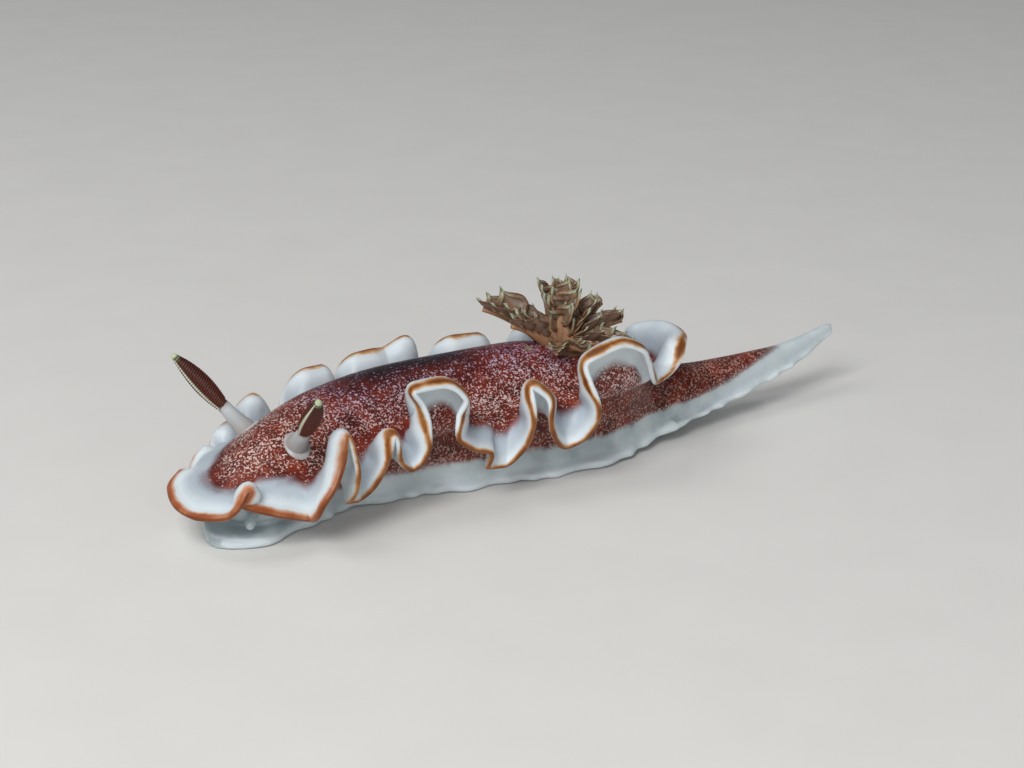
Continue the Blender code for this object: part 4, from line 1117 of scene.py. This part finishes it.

# %% [markdown]
# ## Horns, cuffs and gills
# The plates of the horns are dark maroon, their grooves darkened further with painted shade, their tips
# greenish-white, and a pale line runs down the front, broken into dots by painted shade in the grooves.
# The cuffs are pale cloudy skin. The gills are thin brown tissue, darkest just in from the edges of the
# leaflets, and pale green only at the free tips.

# %% Horn material
# Firm tissue packed with plates, with little water in it: it shines less than the skin, and light hardly
# goes in, which keeps the maroon deep.
HORN_MOTTLE = 0.3
CLIMB_UNEVEN = 0.06
material, tree, coords = new_material("plated_horn_skin")
climb, groove, front_line = (add(tree, "Attribute", give="Fac", attribute_name=name)
                             for name in ("climb", "groove", "front_line"))
mottle = add(tree, "TexNoise", {"Vector": coords, "Scale": per_mm(HORN_MOTTLE), "Detail": 4.0})
climb = add(tree, "Math", {0: mottle, 1: CLIMB_UNEVEN, 2: climb}, operation="MULTIPLY_ADD")
rise = add(tree, "ValToRGB", {"Fac": climb}, stops=[
    (0.0, "a0958f"), (0.14, "a9aaab"), (0.3, "bcc2c4"), (0.35, "a39a92"),
    (0.38, "5a2614"), (0.6, "54200f"), (0.95, "4a1c10"), (0.98, "7d8a62"),
    (1.0, "b3c09c")])
# Painted shade: the grooves between the plates are darkened to near-black.
colour = add(tree, "Mix", {0: groove, 6: rise, 7: shade("220805")}, **COLOURS)
line_mask = add(tree, "MapRange", {"Value": front_line, "From Min": 0.35, "From Max": 0.8}, **SOFT)
# Painted shade in the grooves breaks the pale front line into dots.
dots = add(tree, "Mix", {0: groove, 6: shade("d5dbc4"), 7: shade("6d6450")}, **COLOURS)
colour = add(tree, "Mix", {0: line_mask, 6: colour, 7: dots}, **COLOURS)
wet_tissue(material, colour, mottle, horns[::2], rough=(0.42, 0.6), depth=0.15, film=0.1)

# %% Cuff material
# Thin stretched skin with almost no colour in it: pale, cloudy and soft in the light.
CLOUD_SIZE = 0.8
material, tree, coords = new_material("pale_cuff_skin")
cloud = add(tree, "TexNoise", {"Vector": coords, "Scale": per_mm(CLOUD_SIZE), "Detail": 4.0})
colour = add(tree, "ValToRGB", {"Fac": cloud}, stops=[
    (0.3, "a3958f"), (0.5, "adaaa8"), (0.7, "b9bcbc")])
wet_tissue(material, colour, cloud, horns[1::2])

# %% Gill material
# Gill tissue, a few cells thick and full of vessels: mottled brown, warmer towards the thick stems, with
# a fine wet shine along the folds.
GILL_MOTTLE = 0.3
MOTTLE_SHARE = 0.5
PALE_EDGE = 0.75
material, tree, coords = new_material("thin_gill_tissue")
inner, tip = (add(tree, "Attribute", give="Fac", attribute_name=name) for name in ("inner", "tip"))
mottle = add(tree, "TexNoise", {"Vector": coords, "Scale": per_mm(GILL_MOTTLE), "Detail": 5.0,
                                "Roughness": 0.65})
inward = add(tree, "Math", {0: mottle, 1: MOTTLE_SHARE, 2: inner}, operation="MULTIPLY_ADD")
inward = add(tree, "Math", {0: inward, 1: 1.8}, operation="DIVIDE")
tissue = add(tree, "ValToRGB", {"Fac": inward}, stops=[
    (0.1, "8a6a50"), (0.2, "5d4534"), (0.45, "857466"), (0.62, "86654c"),
    (0.8, "916548"), (1.0, "ad8563")])
thin = add(tree, "MapRange", {"Value": inner, "From Min": 0.0, "From Max": 0.05,
                              "To Min": PALE_EDGE, "To Max": 0.0})
outer = add(tree, "MapRange", {"Value": tip, "From Min": 0.62, "From Max": 0.9}, **SOFT)
point = add(tree, "MapRange", {"Value": tip, "From Min": 0.9, "From Max": 0.99}, **SOFT)
green = add(tree, "Math", {0: thin, 1: outer}, operation="MULTIPLY")
green = add(tree, "Math", {0: green, 1: point}, operation="MAXIMUM")
colour = add(tree, "Mix", {0: green, 6: tissue, 7: shade("b4bfa2")}, **COLOURS)
wet_tissue(material, colour, mottle, [gills, gill_cuff], rough=(0.3, 0.45), depth=0.25)

# %% [markdown]
# ## Floor, light and camera
# The model lies on a plain pale floor. A broad soft lamp from the upper left stands for the flash of the
# photograph, a weaker one low in front fills the shadows, and a third, high beyond the head, lights the
# crests. The camera looks from the photograph's angle, with a lens of the length that fits its view.

# %% Floor
bpy.ops.object.select_all(action="DESELECT")
bpy.ops.mesh.primitive_plane_add(size=3.0)
floor = bpy.context.object
floor.name = "studio_floor"
# Heavy matt paper: pressed fibres give it faint clouds and no shine.
PAPER_CLOUDS = 6.0
material, tree, coords = new_material("pale_paper_floor")
paper = add(tree, "TexNoise", {"Vector": coords, "Scale": per_mm(PAPER_CLOUDS), "Detail": 3.0})
colour = add(tree, "ValToRGB", {"Fac": paper}, stops=[
    (0.3, "e2e0dc"), (0.7, "e5e3df")])
shader = tree.nodes["Principled BSDF"]
tree.links.new(colour, shader.inputs["Base Color"])
shader.inputs["Roughness"].default_value = 0.8
floor.data.materials.append(material)
print("floor laid at z = 0")

# %% Lights
# Each lamp has its azimuth and elevation in degrees, its distance and size in metres and its watts.
LIGHTS = (
    ("key", -40, 42, 0.34, 0.16, 0.8),
    ("fill", 4, 16, 0.42, 0.26, 0.3),
    ("top", -110, 60, 0.36, 0.2, 0.25),
)
AIM = Vector((0.0, -2.0, 3.7)) * MM


def from_aim(azimuth, elevation, distance):
    """The point at a direction and distance from the camera's aim; azimuth 0 is the -Y side."""
    a, e = math.radians(azimuth), math.radians(elevation)
    return AIM + Vector((math.sin(a) * math.cos(e), -math.cos(a) * math.cos(e), math.sin(e))) * distance


for name, azimuth, elevation, distance, size, power in LIGHTS:
    bpy.ops.object.light_add(type="AREA", location=from_aim(azimuth, elevation, distance))
    lamp = bpy.context.object
    lamp.name = name
    lamp.data.size = size
    lamp.data.energy = power
    lamp.rotation_mode = "QUATERNION"
    lamp.rotation_quaternion = (AIM - lamp.location).to_track_quat("-Z", "Y")
world = bpy.data.worlds.new("studio")
world.use_nodes = True
world.node_tree.nodes["Background"].inputs["Color"].default_value = shade("dfe3e8")
world.node_tree.nodes["Background"].inputs["Strength"].default_value = 0.25
bpy.context.scene.world = world
bpy.context.scene.view_settings.view_transform = "Standard"
print("lights:", len(LIGHTS))

# %% Camera
CAMERA_AZIMUTH = -17.0
CAMERA_ELEVATION = 20.0
CAMERA_DISTANCE = 0.147
PHOTO_WIDTH = 1024
PHOTO_HEIGHT = 768
FOCAL_PIXELS = 2480
AIM_ROW = 417
SENSOR = 36.0
bpy.ops.object.camera_add(location=from_aim(CAMERA_AZIMUTH, CAMERA_ELEVATION, CAMERA_DISTANCE))
camera = bpy.context.object
camera.rotation_mode = "QUATERNION"
camera.rotation_quaternion = (AIM - camera.location).to_track_quat("-Z", "Y")
camera.data.sensor_width = SENSOR
camera.data.lens = SENSOR * FOCAL_PIXELS / PHOTO_WIDTH
camera.data.shift_y = (AIM_ROW - PHOTO_HEIGHT / 2) / PHOTO_WIDTH
camera.data.clip_start = 0.01
camera.data.clip_end = 20
bpy.context.scene.camera = camera
print("lens", round(camera.data.lens, 1), "mm")
